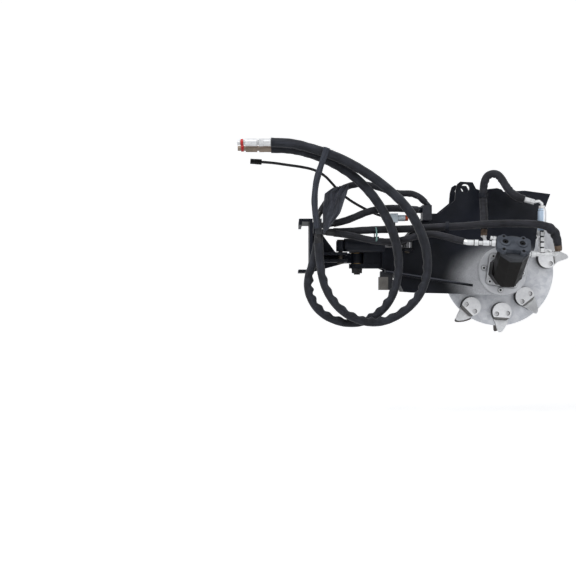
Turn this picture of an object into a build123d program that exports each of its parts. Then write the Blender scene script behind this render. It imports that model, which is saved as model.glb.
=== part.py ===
from build123d import *
import os
from math import atan2, cos, degrees, pi, radians, sin, tan

# Swing-arm stump grinder for a small loader: hitch, pivoting boom, cutter wheel and hoses.
# Millimetres. +X points from the hitch to the cutter wheel, +Z is up, -Y is the motor side.
# The origin is the centre of the hitch plate's rear face, which rests on the loader's carrier.

os.makedirs("parts", exist_ok=True)

# Hitch
HITCH_W = 260
HITCH_H = 220
HITCH_T = 12
HOOK_REACH = 44
HOOK_DROP = 26
LEDGE_REACH = 46
SLOT_LONG = 40
SLOT_WIDE = 22
SLOT_SPACING = 150

# Swing pivot and the fixed arm that carries it
PIVOT_X = 203
PIN_R = 17
PIN_FIT = 0.05
BUSH_WALL = 4
KNUCKLE_R = 30
KNUCKLE_TOP = -28
KNUCKLE_H = 41
BASE_HALF_W = 62
BASE_PLATE_T = 12
CLEVIS_T = 19
CLEVIS_GAP = 3
CLEVIS_HALF_W = 44

# Boom and cutter guard
BOOM_HALF_W = 68
PLATE_T = 10
BOOM_X = 302
BOOM_TOP = -7
BOX_END_X = 488
NOSE_DOWN = 8.2
LEDGE_X = (312, 671)
LEDGE_Z = -101
LEDGE_SLOPE = 9
LEDGE_W = 42
LEDGE_T = 10
EYE_X = 648
EYE_Z = 241
EYE_R = 18

# Cutter wheel
WHEEL_X = 802
WHEEL_Z = -102
WHEEL_R = 230
WHEEL_T = 20
HOLDER_R = 40
HOLDER_T = 28
SCREW_R = 6
SCREW_HEAD_R = 8.5
SCREW_FIT = 0.3
SCREW_ALONG = 6
SCREW_SPACING = 46
TOOTH_LEAN = -6
TOOTH_STATIONS = [(14.7, 205, 0), (50.9, 193, 3), (92.3, 173, 0), (133.9, 149, 0)]
SHAFT_R = 18
SHAFT_FIT = 0.05
HUB_R = 46

# Hydraulic motor
RING_R = 101
RING_T = 12
RING_BOLTS_R = 81
FLANGE_W = 128
FLANGE_T = 14
FLANGE_BOLTS = 105
BOLT_HEAD = 1.8
HOUSING_W = 124
HOUSING_L = 60
BEND = 38
BARREL_W = 114
BARREL_L = 129
RIM_R = 60
RIM_T = 14
COVER_W = 132
COVER_H = 68
COVER_SHIFT = -9
COVER_BOLTS = (38, 33)
COVER_T = 22

# Swing cylinder: its rear pin, its rod pin and the open clearance at the rod eye
CYL_X = 126
CYL_Y = -120
ROD_PIN_X = 400
ROD_PIN_Y = -108
CYL_PIN_R = 9
EYE_CLEARANCE = 5.5
CYL_R = 27
CYL_CLEAR = 3
CYL_Z = KNUCKLE_TOP + CYL_R + CYL_CLEAR
CYL_WALL = 4
ROD_R = 12
ROD_FIT = 0.05
CYL_BODY_L = 150
PISTON_AT = 92
PISTON_T = 20
GLAND_T = 16

# Hoses and cable, outside their sleeves
SUPPLY_D = 38
LONG_D = 31
SHORT_D = 28
UPPER_D = 30
DRAIN_D = 26
LOOP_D = 32
CABLE_D = 11
HOSE_GAP = 0.5
MANIFOLD_Z = 38
MANIFOLD_X = 44

wheel_centre = Vector(WHEEL_X, 0, WHEEL_Z)
ring_face = -BOOM_HALF_W - RING_T
flange_face = ring_face - FLANGE_T
housing_end = flange_face - HOUSING_L
bend_dir = Vector(0, -cos(radians(BEND)), sin(radians(BEND)))
bend_up = Vector(0, sin(radians(BEND)), cos(radians(BEND)))
bend_start = Vector(WHEEL_X, housing_end, WHEEL_Z)
rim_start = bend_start + bend_dir * BARREL_L
cover_start = rim_start + bend_dir * RIM_T


def block(x0, x1, y0, y1, z0, z1):
    """A box between two corners."""
    centre = Vector((x0 + x1) / 2, (y0 + y1) / 2, (z0 + z1) / 2)
    return Pos(centre) * Box(x1 - x0, y1 - y0, z1 - z0)


def side_plate(points, y0, y1):
    """A flat plate whose outline is drawn in X and Z."""
    outline = Polyline(*[(x, y0, z) for x, z in points], close=True)
    return extrude(make_face(outline), amount=y1 - y0, dir=(0, 1, 0))


def flat_plate(points, z0, z1):
    """A flat plate whose outline is drawn in X and Y."""
    outline = Polyline(*[(x, y, z0) for x, y in points], close=True)
    return extrude(make_face(outline), amount=z1 - z0, dir=(0, 0, 1))


def bar(radius, start, end):
    """A round bar between two points."""
    run = Vector(*end) - Vector(*start)
    low = (Align.CENTER, Align.CENTER, Align.MIN)
    return Plane(origin=start, z_dir=run) * Cylinder(radius, run.length, align=low)


def hex_bar(across, start, end):
    """A hexagon bar between two points."""
    run = Vector(*end) - Vector(*start)
    hexagon = RegularPolygon(across / 2, 6, major_radius=False)
    return Plane(origin=start, z_dir=run) * extrude(hexagon, amount=run.length)


def pipe(outer, inner, start, end):
    """A round tube between two points."""
    return bar(outer, start, end) - bar(inner, start, end)


def group(solids):
    """Separate solids kept in one node."""
    return Compound(children=list(solids))


def save(name, shape):
    export_step(shape, f"parts/{name}.step")


def hose(name, points, diameter):
    """A tube along straight runs joined by arcs as large as the runs allow."""
    route = [Vector(*p) for p in points]
    radii = []
    for before, corner, after in zip(route, route[1:], route[2:]):
        run_in, run_out = corner - before, after - corner
        turn = radians(run_in.get_angle(run_out))
        radii.append(0.45 * min(run_in.length, run_out.length) / tan(turn / 2))
    path = FilletPolyline(*route, radius=radii)
    section = Plane(origin=path @ 0, z_dir=path % 0) * Circle(diameter / 2)
    solid = sweep(section, path=path)
    expected = pi * diameter**2 / 4 * path.length
    print(f"{name}: length {path.length:.0f}, volume ratio {solid.volume / expected:.4f}")
    print("  radii in diameters:", " ".join(f"{r / diameter:.1f}" for r in radii))
    return solid


def hitch_plate():
    """Plate with a folded hook along the top and a slotted latch ledge along the bottom."""
    half_w, half_h = HITCH_W / 2, HITCH_H / 2
    top = half_h - HITCH_T
    hook = [
        (0, top), (0, half_h), (-HOOK_REACH, half_h), (-HOOK_REACH, half_h - HOOK_DROP),
        (-HOOK_REACH + HITCH_T, half_h - HOOK_DROP), (-HOOK_REACH + HITCH_T, top),
    ]
    plate = block(0, HITCH_T, -half_w, half_w, -half_h, half_h)
    plate += side_plate(hook, -half_w, half_w)
    ledge = block(-LEDGE_REACH, 0, -half_w, half_w, -half_h, -half_h + HITCH_T)
    for side in (-1, 1):
        slot = Pos(-LEDGE_REACH / 2, side * SLOT_SPACING / 2, -half_h)
        slot *= Rot(0, 0, 90) * SlotOverall(SLOT_LONG, SLOT_WIDE)
        ledge -= extrude(slot, amount=HITCH_T)
    return plate + ledge


def base_plates():
    """Upper and lower arm plates, from the hitch plate to the pivot knuckle."""
    end = PIVOT_X - KNUCKLE_R - 6
    reach = CYL_Y - 34
    upper = [
        (HITCH_T, -BASE_HALF_W - 40), (CYL_X - 44, reach), (CYL_X + 26, reach),
        (CYL_X + 26, -BASE_HALF_W), (end + 12, -26), (end + 12, 26),
        (CYL_X, BASE_HALF_W), (HITCH_T, BASE_HALF_W + 40),
    ]
    top = KNUCKLE_TOP
    low = KNUCKLE_TOP - KNUCKLE_H
    cut = bar(KNUCKLE_R, (PIVOT_X, 0, low), (PIVOT_X, 0, top))
    pin = bar(CYL_PIN_R, (CYL_X, CYL_Y, low), (CYL_X, CYL_Y, top))
    plates = []
    for z1 in (top, low + BASE_PLATE_T):
        plates.append(flat_plate(upper, z1 - BASE_PLATE_T, z1) - cut - pin)
    return group(plates)


def base_webs():
    """Upright webs between the arm plates, and gussets up and down the hitch plate."""
    top = KNUCKLE_TOP - BASE_PLATE_T
    low = KNUCKLE_TOP - KNUCKLE_H + BASE_PLATE_T
    webs = []
    for side in (-1, 1):
        y = side * (BASE_HALF_W - 14)
        bend = CYL_X + 20
        end = PIVOT_X - KNUCKLE_R
        web = [
            (HITCH_T, y - 5), (bend, y - 5), (end + 6, side * 22 - 5), (end + 6, side * 22 + 5),
            (bend, y + 5), (HITCH_T, y + 5),
        ]
        webs.append(flat_plate(web, low, top))
        upper = [(HITCH_T, KNUCKLE_TOP), (HITCH_T, 88), (HITCH_T + 14, 88), (112, KNUCKLE_TOP)]
        webs.append(side_plate(upper, y - 5, y + 5))
        under = low - BASE_PLATE_T
        lower = [(HITCH_T, under), (HITCH_T, -104), (HITCH_T + 10, -104), (150, under)]
        webs.append(side_plate(lower, y - 5, y + 5))
    return group(webs)


def knuckle_level(z):
    return (PIVOT_X, 0, z)


def pivot_knuckle():
    low = KNUCKLE_TOP - KNUCKLE_H
    bore = PIN_R + PIN_FIT + BUSH_WALL
    return pipe(KNUCKLE_R, bore, knuckle_level(low), knuckle_level(KNUCKLE_TOP))


def pivot_bushes():
    """Flanged bushes pressed into both ends of the knuckle."""
    low = KNUCKLE_TOP - KNUCKLE_H
    bore = PIN_R + PIN_FIT
    wall = bore + BUSH_WALL
    bushes = []
    for end, inward in ((KNUCKLE_TOP, -1), (low, 1)):
        sleeve = pipe(wall, bore, knuckle_level(end), knuckle_level(end + inward * 18))
        flange_end = end - inward * (CLEVIS_GAP - 0.5)
        flange = pipe(wall + 5, bore, knuckle_level(end), knuckle_level(flange_end))
        bushes.append(sleeve + flange)
    return group(bushes)


def clevis_plates():
    """Two boom plates that hold the pivot pin above and below the knuckle, and two cheeks."""
    plates = []
    upper = KNUCKLE_TOP + CLEVIS_GAP
    lower = KNUCKLE_TOP - KNUCKLE_H - CLEVIS_GAP
    for z0, z1 in ((upper, upper + CLEVIS_T), (lower - CLEVIS_T, lower)):
        outline = [
            (PIVOT_X, -34), (PIVOT_X + 46, -CLEVIS_HALF_W), (BOOM_X, -CLEVIS_HALF_W),
            (BOOM_X, CLEVIS_HALF_W), (PIVOT_X + 46, CLEVIS_HALF_W), (PIVOT_X, 34),
        ]
        plate = flat_plate(outline, z0, z1) + bar(34, knuckle_level(z0), knuckle_level(z1))
        plates.append(plate - bar(PIN_R, knuckle_level(z0), knuckle_level(z1)))
    for side in (-1, 1):
        y = side * (CLEVIS_HALF_W - 8)
        plates.append(block(PIVOT_X + 24, BOOM_X, y - 5, y + 5, lower, upper))
    return group(plates)


def swing_pin():
    """Pivot pin with a round head, a thread at its foot and a grease nipple on top."""
    top = KNUCKLE_TOP + CLEVIS_GAP + CLEVIS_T
    low = KNUCKLE_TOP - KNUCKLE_H - CLEVIS_GAP - CLEVIS_T
    pin = bar(PIN_R, knuckle_level(low), knuckle_level(top))
    pin += bar(24, knuckle_level(top), knuckle_level(top + 8))
    pin += bar(3.5, knuckle_level(top + 8), knuckle_level(top + 17))
    return pin + bar(PIN_R - 4, knuckle_level(low), knuckle_level(low - 26))


def swing_pin_nut():
    low = KNUCKLE_TOP - KNUCKLE_H - CLEVIS_GAP - CLEVIS_T
    washer = bar(23, knuckle_level(low), knuckle_level(low - 4))
    nut = hex_bar(38, knuckle_level(low - 4), knuckle_level(low - 20))
    return washer + nut - bar(PIN_R - 4, knuckle_level(low), knuckle_level(low - 20))


REAR_OUTLINE = [(BOOM_X, BOOM_TOP), (BOOM_X, -92), (356, -112), (392, -190), (448, -194)]
EAR_OUTLINE = [
    (707, 234), (693, 239), (686, 253), (679, 266), (628, 269), (616, 260), (609, 236),
    (605, 191), (584, 174), (538, 136), (492, 136), (400, 36), (366, BOOM_TOP),
]


def boom_side_near():
    """Motor-side plate: box side, guard over the wheel and lifting ear in one sheet."""
    front = [
        (585, -197), (826, -205), (856, -176), (885, -136), (924, -41), (938, -5),
        (949, 88), (964, 192), (850, 198), (822, 208), (800, 236), (780, 242),
    ]
    y0 = -BOOM_HALF_W
    plate = side_plate(REAR_OUTLINE + front + EAR_OUTLINE, y0, y0 + PLATE_T)
    plate -= bar(EYE_R, (EYE_X, y0, EYE_Z), (EYE_X, y0 + PLATE_T, EYE_Z))
    hole = HUB_R + 6
    return plate - bar(hole, (WHEEL_X, y0, WHEEL_Z), (WHEEL_X, y0 + PLATE_T, WHEEL_Z))


def boom_side_far():
    """Far plate: the same sheet with a longer, straight brow over the wheel."""
    front = [
        (585, -197), (826, -205), (856, -176), (885, -136), (930, -20), (962, 60),
        (1000, 132), (1022, 181), (1041, 231), (930, 246),
    ]
    y1 = BOOM_HALF_W
    plate = side_plate(REAR_OUTLINE + front + EAR_OUTLINE, y1 - PLATE_T, y1)
    plate -= bar(EYE_R, (EYE_X, y1 - PLATE_T, EYE_Z), (EYE_X, y1, EYE_Z))
    bore = SHAFT_R + 8
    return plate - bar(bore, (WHEEL_X, y1 - PLATE_T, WHEEL_Z), (WHEEL_X, y1, WHEEL_Z))


def boom_end_plate():
    inner = BOOM_HALF_W - PLATE_T
    return block(BOOM_X, BOOM_X + 14, -inner, inner, -92, BOOM_TOP)


def boom_top_plate():
    """Bent plate that closes the box from the end plate up to the guard."""
    inner = BOOM_HALF_W - PLATE_T
    outline = [
        (BOOM_X + 14, BOOM_TOP), (366, BOOM_TOP), (400, 36), (492, 136), (506, 136),
        (506, 124), (496, 124), (408, 29), (372, BOOM_TOP - 12), (BOOM_X + 14, BOOM_TOP - 12),
    ]
    return side_plate(outline, -inner, inner)


def boom_bottom_plate():
    """Bent plate under the box, turned up at its front as a bulkhead behind the wheel."""
    inner = BOOM_HALF_W - PLATE_T
    outline = [
        (BOOM_X + 14, -92), (356, -112), (392, -190), (448, -194), (BOX_END_X, -195),
        (BOX_END_X, 112), (BOX_END_X - 10, 102), (BOX_END_X - 10, -183), (448, -182),
        (402, -179), (366, -102), (BOOM_X + 14, -80),
    ]
    return side_plate(outline, -inner, inner)


def ledge_top(x):
    return LEDGE_Z - (x - LEDGE_X[0]) * tan(radians(LEDGE_SLOPE))


def boom_ledges():
    """A stiffening strip along each side plate, sloping down to the wheel."""
    x0, x1 = LEDGE_X
    outline = [
        (x0, ledge_top(x0)), (x1, ledge_top(x1)),
        (x1, ledge_top(x1) - LEDGE_T), (x0, ledge_top(x0) - LEDGE_T),
    ]
    near = side_plate(outline, -BOOM_HALF_W - LEDGE_W, -BOOM_HALF_W)
    far = side_plate(outline, BOOM_HALF_W, BOOM_HALF_W + LEDGE_W)
    return group([near, far])


def stand_foot():
    """Square tube stub under the near ledge, which the machine is parked on."""
    x0, x1 = 286, 342
    y0 = -BOOM_HALF_W - 41
    foot = block(x0, x1, y0, y0 + 40, -182, -128) + block(x0 + 6, x1, y0 + 4, y0 + 40, -128, LEDGE_Z)
    foot -= block(x0 + 5, x1 - 5, y0 + 5, y0 + 35, -182, -134)
    under = [
        (x0 - 1, ledge_top(x0 - 1) - LEDGE_T), (x1 + 1, ledge_top(x1 + 1) - LEDGE_T),
        (x1 + 1, LEDGE_Z + 1), (x0 - 1, LEDGE_Z + 1),
    ]
    return foot - side_plate(under, y0, y0 + 40)


def guard_roof():
    """Bent plate between the side plates, over the wheel."""
    inner = BOOM_HALF_W - PLATE_T
    outline = [
        (540, 118), (596, 166), (700, 214), (930, 214), (930, 206), (702, 206), (600, 158),
        (546, 110),
    ]
    return side_plate(outline, -inner, inner)


def guard_cheek():
    """Bright deflector plate that fills the front of the guard beside the wheel."""
    outline = [
        (936, -6), (968, -20), (1030, -30), (1060, -18), (1067, 8), (1063, 44), (1040, 78),
        (990, 96), (950, 66),
    ]
    y1 = BOOM_HALF_W + 6
    return side_plate(outline, BOOM_HALF_W, y1)


def tilted(x, z):
    """A point given about the wheel's axis, in the motor flange's own tilted directions."""
    a = radians(NOSE_DOWN)
    return (WHEEL_X + x * cos(a) + z * sin(a), WHEEL_Z - x * sin(a) + z * cos(a))


def on_wheel_axis(y):
    return (WHEEL_X, y, WHEEL_Z)


def motor_mount_ring():
    """Round steel ring welded to the near plate, tapped for the motor and bored for its nose."""
    ring = bar(RING_R, on_wheel_axis(ring_face), on_wheel_axis(-BOOM_HALF_W))
    ring -= bar(HUB_R + 6, on_wheel_axis(ring_face), on_wheel_axis(-BOOM_HALF_W))
    for x, z, r in mount_bolt_places():
        ring -= bar(r, (x, ring_face, z), (x, -BOOM_HALF_W, z))
    return ring


def mount_bolt_places():
    """Ring bolts on a circle and flange bolts on a square: x, z and shank radius."""
    places = []
    for turn in (0, 90, 180, 270):
        a = radians(turn)
        places.append((*tilted(RING_BOLTS_R * cos(a), RING_BOLTS_R * sin(a)), 5))
    half = FLANGE_BOLTS / 2
    for sx in (-1, 1):
        for sz in (-1, 1):
            places.append((*tilted(sx * half, sz * half), 5))
    return places


def mount_bolts():
    bolts = []
    for i, (x, z, r) in enumerate(mount_bolt_places()):
        seat = ring_face if i < 4 else flange_face
        head = bar(r * BOLT_HEAD, (x, seat - r * 1.5, z), (x, seat, z))
        head -= hex_bar(r * BOLT_HEAD, (x, seat - r * 1.5, z), (x, seat - r * 0.6, z))
        bolts.append(head + bar(r - 0.1, (x, seat, z), (x, -BOOM_HALF_W - 1, z)))
    return bolts


def motor_front_housing():
    """Square flange, octagonal casing and bearing nose of the bent-axis motor."""
    plane = Plane(origin=on_wheel_axis(ring_face), x_dir=(1, 0, 0), z_dir=(0, -1, 0))
    plane = plane * Rot(0, 0, -NOSE_DOWN)
    flange = plane * extrude(RectangleRounded(FLANGE_W, FLANGE_W, 14), amount=FLANGE_T)
    octagon = Rot(0, 0, 22.5) * RegularPolygon(HOUSING_W / 2, 8, major_radius=False)
    casing = plane * extrude(octagon, amount=FLANGE_T + HOUSING_L)
    body = flange + casing
    for x, z, r in mount_bolt_places()[4:]:
        body -= bar(r, (x, flange_face, z), (x, ring_face, z))
        body -= bar(r * BOLT_HEAD + 0.5, (x, flange_face - 12, z), (x, flange_face, z))
    cavity = SHAFT_R + 14
    body -= bar(cavity, on_wheel_axis(housing_end + 8), on_wheel_axis(ring_face))
    return body


def shaft_bearings():
    """Two motor bearings and the far plate's bearing, each a ring round the shaft."""
    rings = []
    bore = SHAFT_R + SHAFT_FIT
    for y in (ring_face - 24, ring_face - 58):
        rings.append(pipe(SHAFT_R + 14, bore, on_wheel_axis(y), on_wheel_axis(y + 18)))
    y0 = BOOM_HALF_W + 4
    rings.append(pipe(SHAFT_R + 14, bore, on_wheel_axis(y0), on_wheel_axis(y0 + 16)))
    return group(rings)


def bearing_housing():
    """Capped housing bolted outside the far plate, round the wheel shaft's end."""
    y0 = BOOM_HALF_W
    body = bar(60, on_wheel_axis(y0), on_wheel_axis(y0 + 12))
    body += bar(42, on_wheel_axis(y0 + 12), on_wheel_axis(y0 + 36))
    body -= bar(SHAFT_R + 14, on_wheel_axis(y0 + 4), on_wheel_axis(y0 + 28))
    body -= bar(SHAFT_R + 2, on_wheel_axis(y0), on_wheel_axis(y0 + 4))
    for turn in (45, 135, 225, 315):
        x = WHEEL_X + 51 * cos(radians(turn))
        z = WHEEL_Z + 51 * sin(radians(turn))
        body += hex_bar(13, (x, y0 + 12, z), (x, y0 + 19, z))
    return body


def motor_barrel_housing():
    """Octagonal casing of the tilted piston barrel, ending in a round rim."""
    plane = Plane(origin=bend_start, x_dir=(1, 0, 0), z_dir=bend_dir)
    octagon = Rot(0, 0, 22.5) * RegularPolygon(BARREL_W / 2, 8, major_radius=False)
    body = plane * Pos(0, 0, -38) * extrude(octagon, amount=BARREL_L + 38)
    body += bar(RIM_R, rim_start, cover_start)
    behind = block(
        WHEEL_X - 150, WHEEL_X + 150, housing_end, housing_end + 200, WHEEL_Z - 200, WHEEL_Z + 200
    )
    return body - behind


def cover_plane():
    """The rear cover's seat: x along its width, turned with the motor flange."""
    side = Vector(cos(radians(NOSE_DOWN)), 0, 0) - bend_up * sin(radians(NOSE_DOWN))
    return Plane(origin=cover_start + side * COVER_SHIFT, x_dir=side, z_dir=bend_dir)


def cover_bolt_places():
    half_x, half_y = COVER_BOLTS
    return [(sx * half_x, sy * half_y) for sx in (-1, 1) for sy in (-1, 1)]


def motor_rear_cover():
    """Port cover with four bolt lobes, two raised plug bosses and four counterbores."""
    plane = cover_plane()
    cover = plane * extrude(RectangleRounded(COVER_W, COVER_H, 16), amount=COVER_T)
    for x, y in cover_bolt_places():
        cover += plane * Pos(x, y, 0) * extrude(Circle(11), amount=COVER_T - 2)
    for side in (-1, 1):
        cover += plane * Pos(side * 33, 2, COVER_T) * extrude(Circle(19), amount=5)
        cover -= plane * Pos(side * 33, 2, COVER_T - 8) * extrude(Circle(12), amount=13)
    for x, y in cover_bolt_places():
        cover -= plane * Pos(x, y, COVER_T - 9) * extrude(Circle(6.5), amount=9)
    return cover


def port_plugs():
    """Hexagon-socket plugs in the cover's two spare ports."""
    plugs = []
    for side in (-1, 1):
        place = cover_plane() * Pos(side * 33, 2, COVER_T - 8)
        plug = place * extrude(Circle(11.8), amount=10)
        socket = place * Pos(0, 0, 3) * extrude(RegularPolygon(6, 6), amount=7)
        plugs.append(plug - socket)
    return group(plugs)


def motor_bolts():
    """Socket screws of the mounting ring, the motor flange and the rear cover."""
    bolts = mount_bolts()
    for x, y in cover_bolt_places():
        place = cover_plane() * Pos(x, y, COVER_T - 9)
        bolt = place * extrude(Circle(6.2), amount=8)
        bolt -= place * Pos(0, 0, 3) * extrude(RegularPolygon(3.4, 6), amount=5)
        bolts.append(bolt)
    return group(bolts)


def station_places(side):
    """Angle and radius of each tooth holder on one face of the wheel, in degrees and mm."""
    places = []
    for half_turn in (0, 180):
        for turn, radius, far_shift in TOOTH_STATIONS:
            shift = 0 if side < 0 else far_shift
            places.append((turn + half_turn + shift, radius))
    return places


def station_plane(side, turn, radius):
    """Plane on a wheel face at a holder: x points outward along the radius, z away from the wheel."""
    a = radians(turn)
    y = side * WHEEL_T / 2
    origin = (WHEEL_X + radius * cos(a), y, WHEEL_Z + radius * sin(a))
    return Plane(origin=origin, x_dir=(cos(a), 0, sin(a)), z_dir=(0, side, 0))


def all_stations():
    planes = []
    for side in (-1, 1):
        for turn, radius in station_places(side):
            planes.append(station_plane(side, turn, radius))
    return planes


def screw_places():
    return [Pos(SCREW_ALONG, side * SCREW_SPACING / 2, 0) for side in (-1, 1)]


def cutter_disc():
    """Wheel plate, drilled from both faces for the holders' screws."""
    disc = bar(WHEEL_R, on_wheel_axis(-WHEEL_T / 2), on_wheel_axis(WHEEL_T / 2))
    for plane in all_stations():
        for place in screw_places():
            hole = Pos(0, 0, -9) * extrude(Circle(SCREW_R), amount=9)
            disc -= plane * place * hole
    return disc - bar(SHAFT_R, on_wheel_axis(-WHEEL_T / 2), on_wheel_axis(WHEEL_T / 2))


def drive_shaft():
    """Shaft from the motor through the wheel to the far bearing, with a hub flange each side."""
    shaft = bar(SHAFT_R, on_wheel_axis(ring_face - 60), on_wheel_axis(BOOM_HALF_W + 24))
    for side in (-1, 1):
        face = side * WHEEL_T / 2
        shaft += bar(HUB_R, on_wheel_axis(face), on_wheel_axis(face + side * 16))
        for turn in range(0, 360, 60):
            x = WHEEL_X + 34 * cos(radians(turn))
            z = WHEEL_Z + 34 * sin(radians(turn))
            start, end = face + side * 16, face + side * 22
            shaft += hex_bar(13, (x, start, z), (x, end, z))
    return shaft


def tooth_lean(plane):
    """Teeth lean the same way round the wheel on both of its faces."""
    return -TOOTH_LEAN * plane.z_dir.Y


def tooth_slope(plane):
    """Wedge cut from a holder's outer side, where the tooth leaves it."""
    outline = [(22, HOLDER_T + 1), (60, HOLDER_T + 1), (60, 8), (33, 8)]
    edge = Polyline(*[(x, -60, z) for x, z in outline], close=True)
    wedge = extrude(make_face(edge), amount=120, dir=(0, 1, 0))
    return plane * Rot(0, 0, tooth_lean(plane)) * wedge


def tooth_holders():
    holders = []
    for plane in all_stations():
        pocket = plane * extrude(Circle(HOLDER_R), amount=HOLDER_T)
        pocket -= tooth_slope(plane)
        for place in screw_places():
            pocket -= plane * place * extrude(Circle(SCREW_R), amount=HOLDER_T)
            seat = Pos(0, 0, HOLDER_T - 11) * extrude(Circle(SCREW_HEAD_R + 1), amount=11)
            pocket -= plane * place * seat
        holders.append(pocket - claw(plane))
    return group(holders)


def claw(plane):
    """Tooth: broad under the slope, curving away from the wheel and narrowing to a hooked point."""
    across = [
        (22, -28), (36, -27), (45, -21), (57, -18), (69, -15), (80, -12), (85, -9), (85, -3),
        (80, 4), (72, 11), (62, 19), (50, 26), (38, 32), (22, 33),
    ]
    along = [
        (22, 2), (50, 2), (64, 8), (76, 17), (86, 30), (80, 35), (68, 27), (56, 19), (44, 12),
        (34, 8), (22, 7),
    ]
    turned = -plane.z_dir.Y
    edge = Polyline(*[(x, turned * y, 0) for x, y in across], close=True)
    plan = extrude(make_face(edge), amount=50, dir=(0, 0, 1))
    edge = make_face(Polyline(*[(x, -40, z) for x, z in along], close=True))
    side = extrude(edge, amount=80, dir=(0, 1, 0))
    return plane * Rot(0, 0, tooth_lean(plane)) * (plan & side)


def teeth():
    return group(claw(plane) for plane in all_stations())


def holder_screws():
    screws = []
    for plane in all_stations():
        for place in screw_places():
            seat = HOLDER_T - 11
            screw = extrude(Circle(SCREW_HEAD_R), amount=5)
            screw -= Pos(0, 0, 2) * extrude(RegularPolygon(5, 6), amount=3)
            shank = Pos(0, 0, -seat - 8) * extrude(Circle(SCREW_R - SCREW_FIT), amount=seat + 8)
            screws.append(plane * place * Pos(0, 0, seat) * (screw + shank))
    return group(screws)


def cylinder_frame():
    """Plane along the swing cylinder: origin at its rear pin, z to the rod pin."""
    run = Vector(ROD_PIN_X - CYL_X, ROD_PIN_Y - CYL_Y, 0)
    return Plane(origin=(CYL_X, CYL_Y, CYL_Z), x_dir=(0, 0, 1), z_dir=run), run.length


def along(plane, radius, start, end):
    """A round bar along a plane's z between two distances."""
    return plane * Pos(0, 0, start) * extrude(Circle(radius), amount=end - start)


def pin_bore(x, y, radius):
    return bar(radius, (x, y, CYL_Z - 60), (x, y, CYL_Z + 60))


def cylinder_barrel():
    plane, _ = cylinder_frame()
    tube = along(plane, CYL_R, 15, 22 + CYL_BODY_L)
    tube -= along(plane, CYL_R - CYL_WALL, 34, 22 + CYL_BODY_L)
    eye = bar(18, (CYL_X, CYL_Y, CYL_Z - 26), (CYL_X, CYL_Y, CYL_Z + 16))
    body = tube + eye
    for reach in (52, 150):
        start = plane.origin + plane.z_dir * reach + Vector(0, 0, CYL_R - 2)
        body += bar(9, start, start + Vector(0, 0, 10))
    return body - pin_bore(CYL_X, CYL_Y, CYL_PIN_R + PIN_FIT)


def cylinder_gland():
    plane, _ = cylinder_frame()
    end = 22 + CYL_BODY_L
    gland = along(plane, CYL_R - CYL_WALL, end - GLAND_T, end)
    gland += along(plane, CYL_R - 1, end, end + 8)
    return gland - along(plane, ROD_R + ROD_FIT, end - GLAND_T, end + 8)


def cylinder_rod():
    """Rod with its piston and the eye that takes the boom's pin with room to spare."""
    plane, length = cylinder_frame()
    rod = along(plane, ROD_R, PISTON_AT, length - 18)
    rod += along(plane, CYL_R - CYL_WALL - ROD_FIT, PISTON_AT, PISTON_AT + PISTON_T)
    rod += bar(24, (ROD_PIN_X, ROD_PIN_Y, CYL_Z - 11), (ROD_PIN_X, ROD_PIN_Y, CYL_Z + 11))
    return rod - pin_bore(ROD_PIN_X, ROD_PIN_Y, CYL_PIN_R + EYE_CLEARANCE)


def cylinder_base_pin():
    low = KNUCKLE_TOP - KNUCKLE_H
    top = CYL_Z + 17
    pin = bar(CYL_PIN_R, (CYL_X, CYL_Y, low), (CYL_X, CYL_Y, top))
    pin += bar(15, (CYL_X, CYL_Y, top), (CYL_X, CYL_Y, top + 5))
    return pin + bar(14, (CYL_X, CYL_Y, low - 5), (CYL_X, CYL_Y, low))


def rod_lugs():
    """Two plates welded to the near side plate, above and below the rod eye."""
    edge = -BOOM_HALF_W
    tip = ROD_PIN_Y - 22
    outline = [
        (ROD_PIN_X - 26, edge), (ROD_PIN_X + 30, edge), (ROD_PIN_X + 18, tip),
        (ROD_PIN_X - 14, tip),
    ]
    lugs = []
    for z0 in (CYL_Z - 24, CYL_Z + 14):
        lugs.append(flat_plate(outline, z0, z0 + 10) - pin_bore(ROD_PIN_X, ROD_PIN_Y, CYL_PIN_R))
    return group(lugs)


def rod_pin():
    top = CYL_Z + 24
    low = CYL_Z - 24
    pin = bar(CYL_PIN_R, (ROD_PIN_X, ROD_PIN_Y, low - 8), (ROD_PIN_X, ROD_PIN_Y, top))
    return pin + bar(14, (ROD_PIN_X, ROD_PIN_Y, top), (ROD_PIN_X, ROD_PIN_Y, top + 6))


def hose_manifold():
    """Steel junction block beside the hitch plate."""
    return block(HITCH_T + 6, MANIFOLD_X, -258, -140, MANIFOLD_Z, 100)


def manifold_bracket():
    """Plate from the front of the hitch plate out to the junction block."""
    return block(HITCH_T, HITCH_T + 6, -250, -80, 44, 94)


def ferrule(mouth, inside, length, radius, gap=0):
    """Crimped hose end: it starts a gap before the hose's mouth and runs on in its direction."""
    mouth = Vector(*mouth)
    outward = (mouth - Vector(*inside)).normalized()
    hex_start = mouth + outward * (gap + 0.6 * length)
    port = mouth + outward * (gap + length)
    return bar(radius, mouth + outward * gap, hex_start) + hex_bar(radius * 1.7, hex_start, port)


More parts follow.
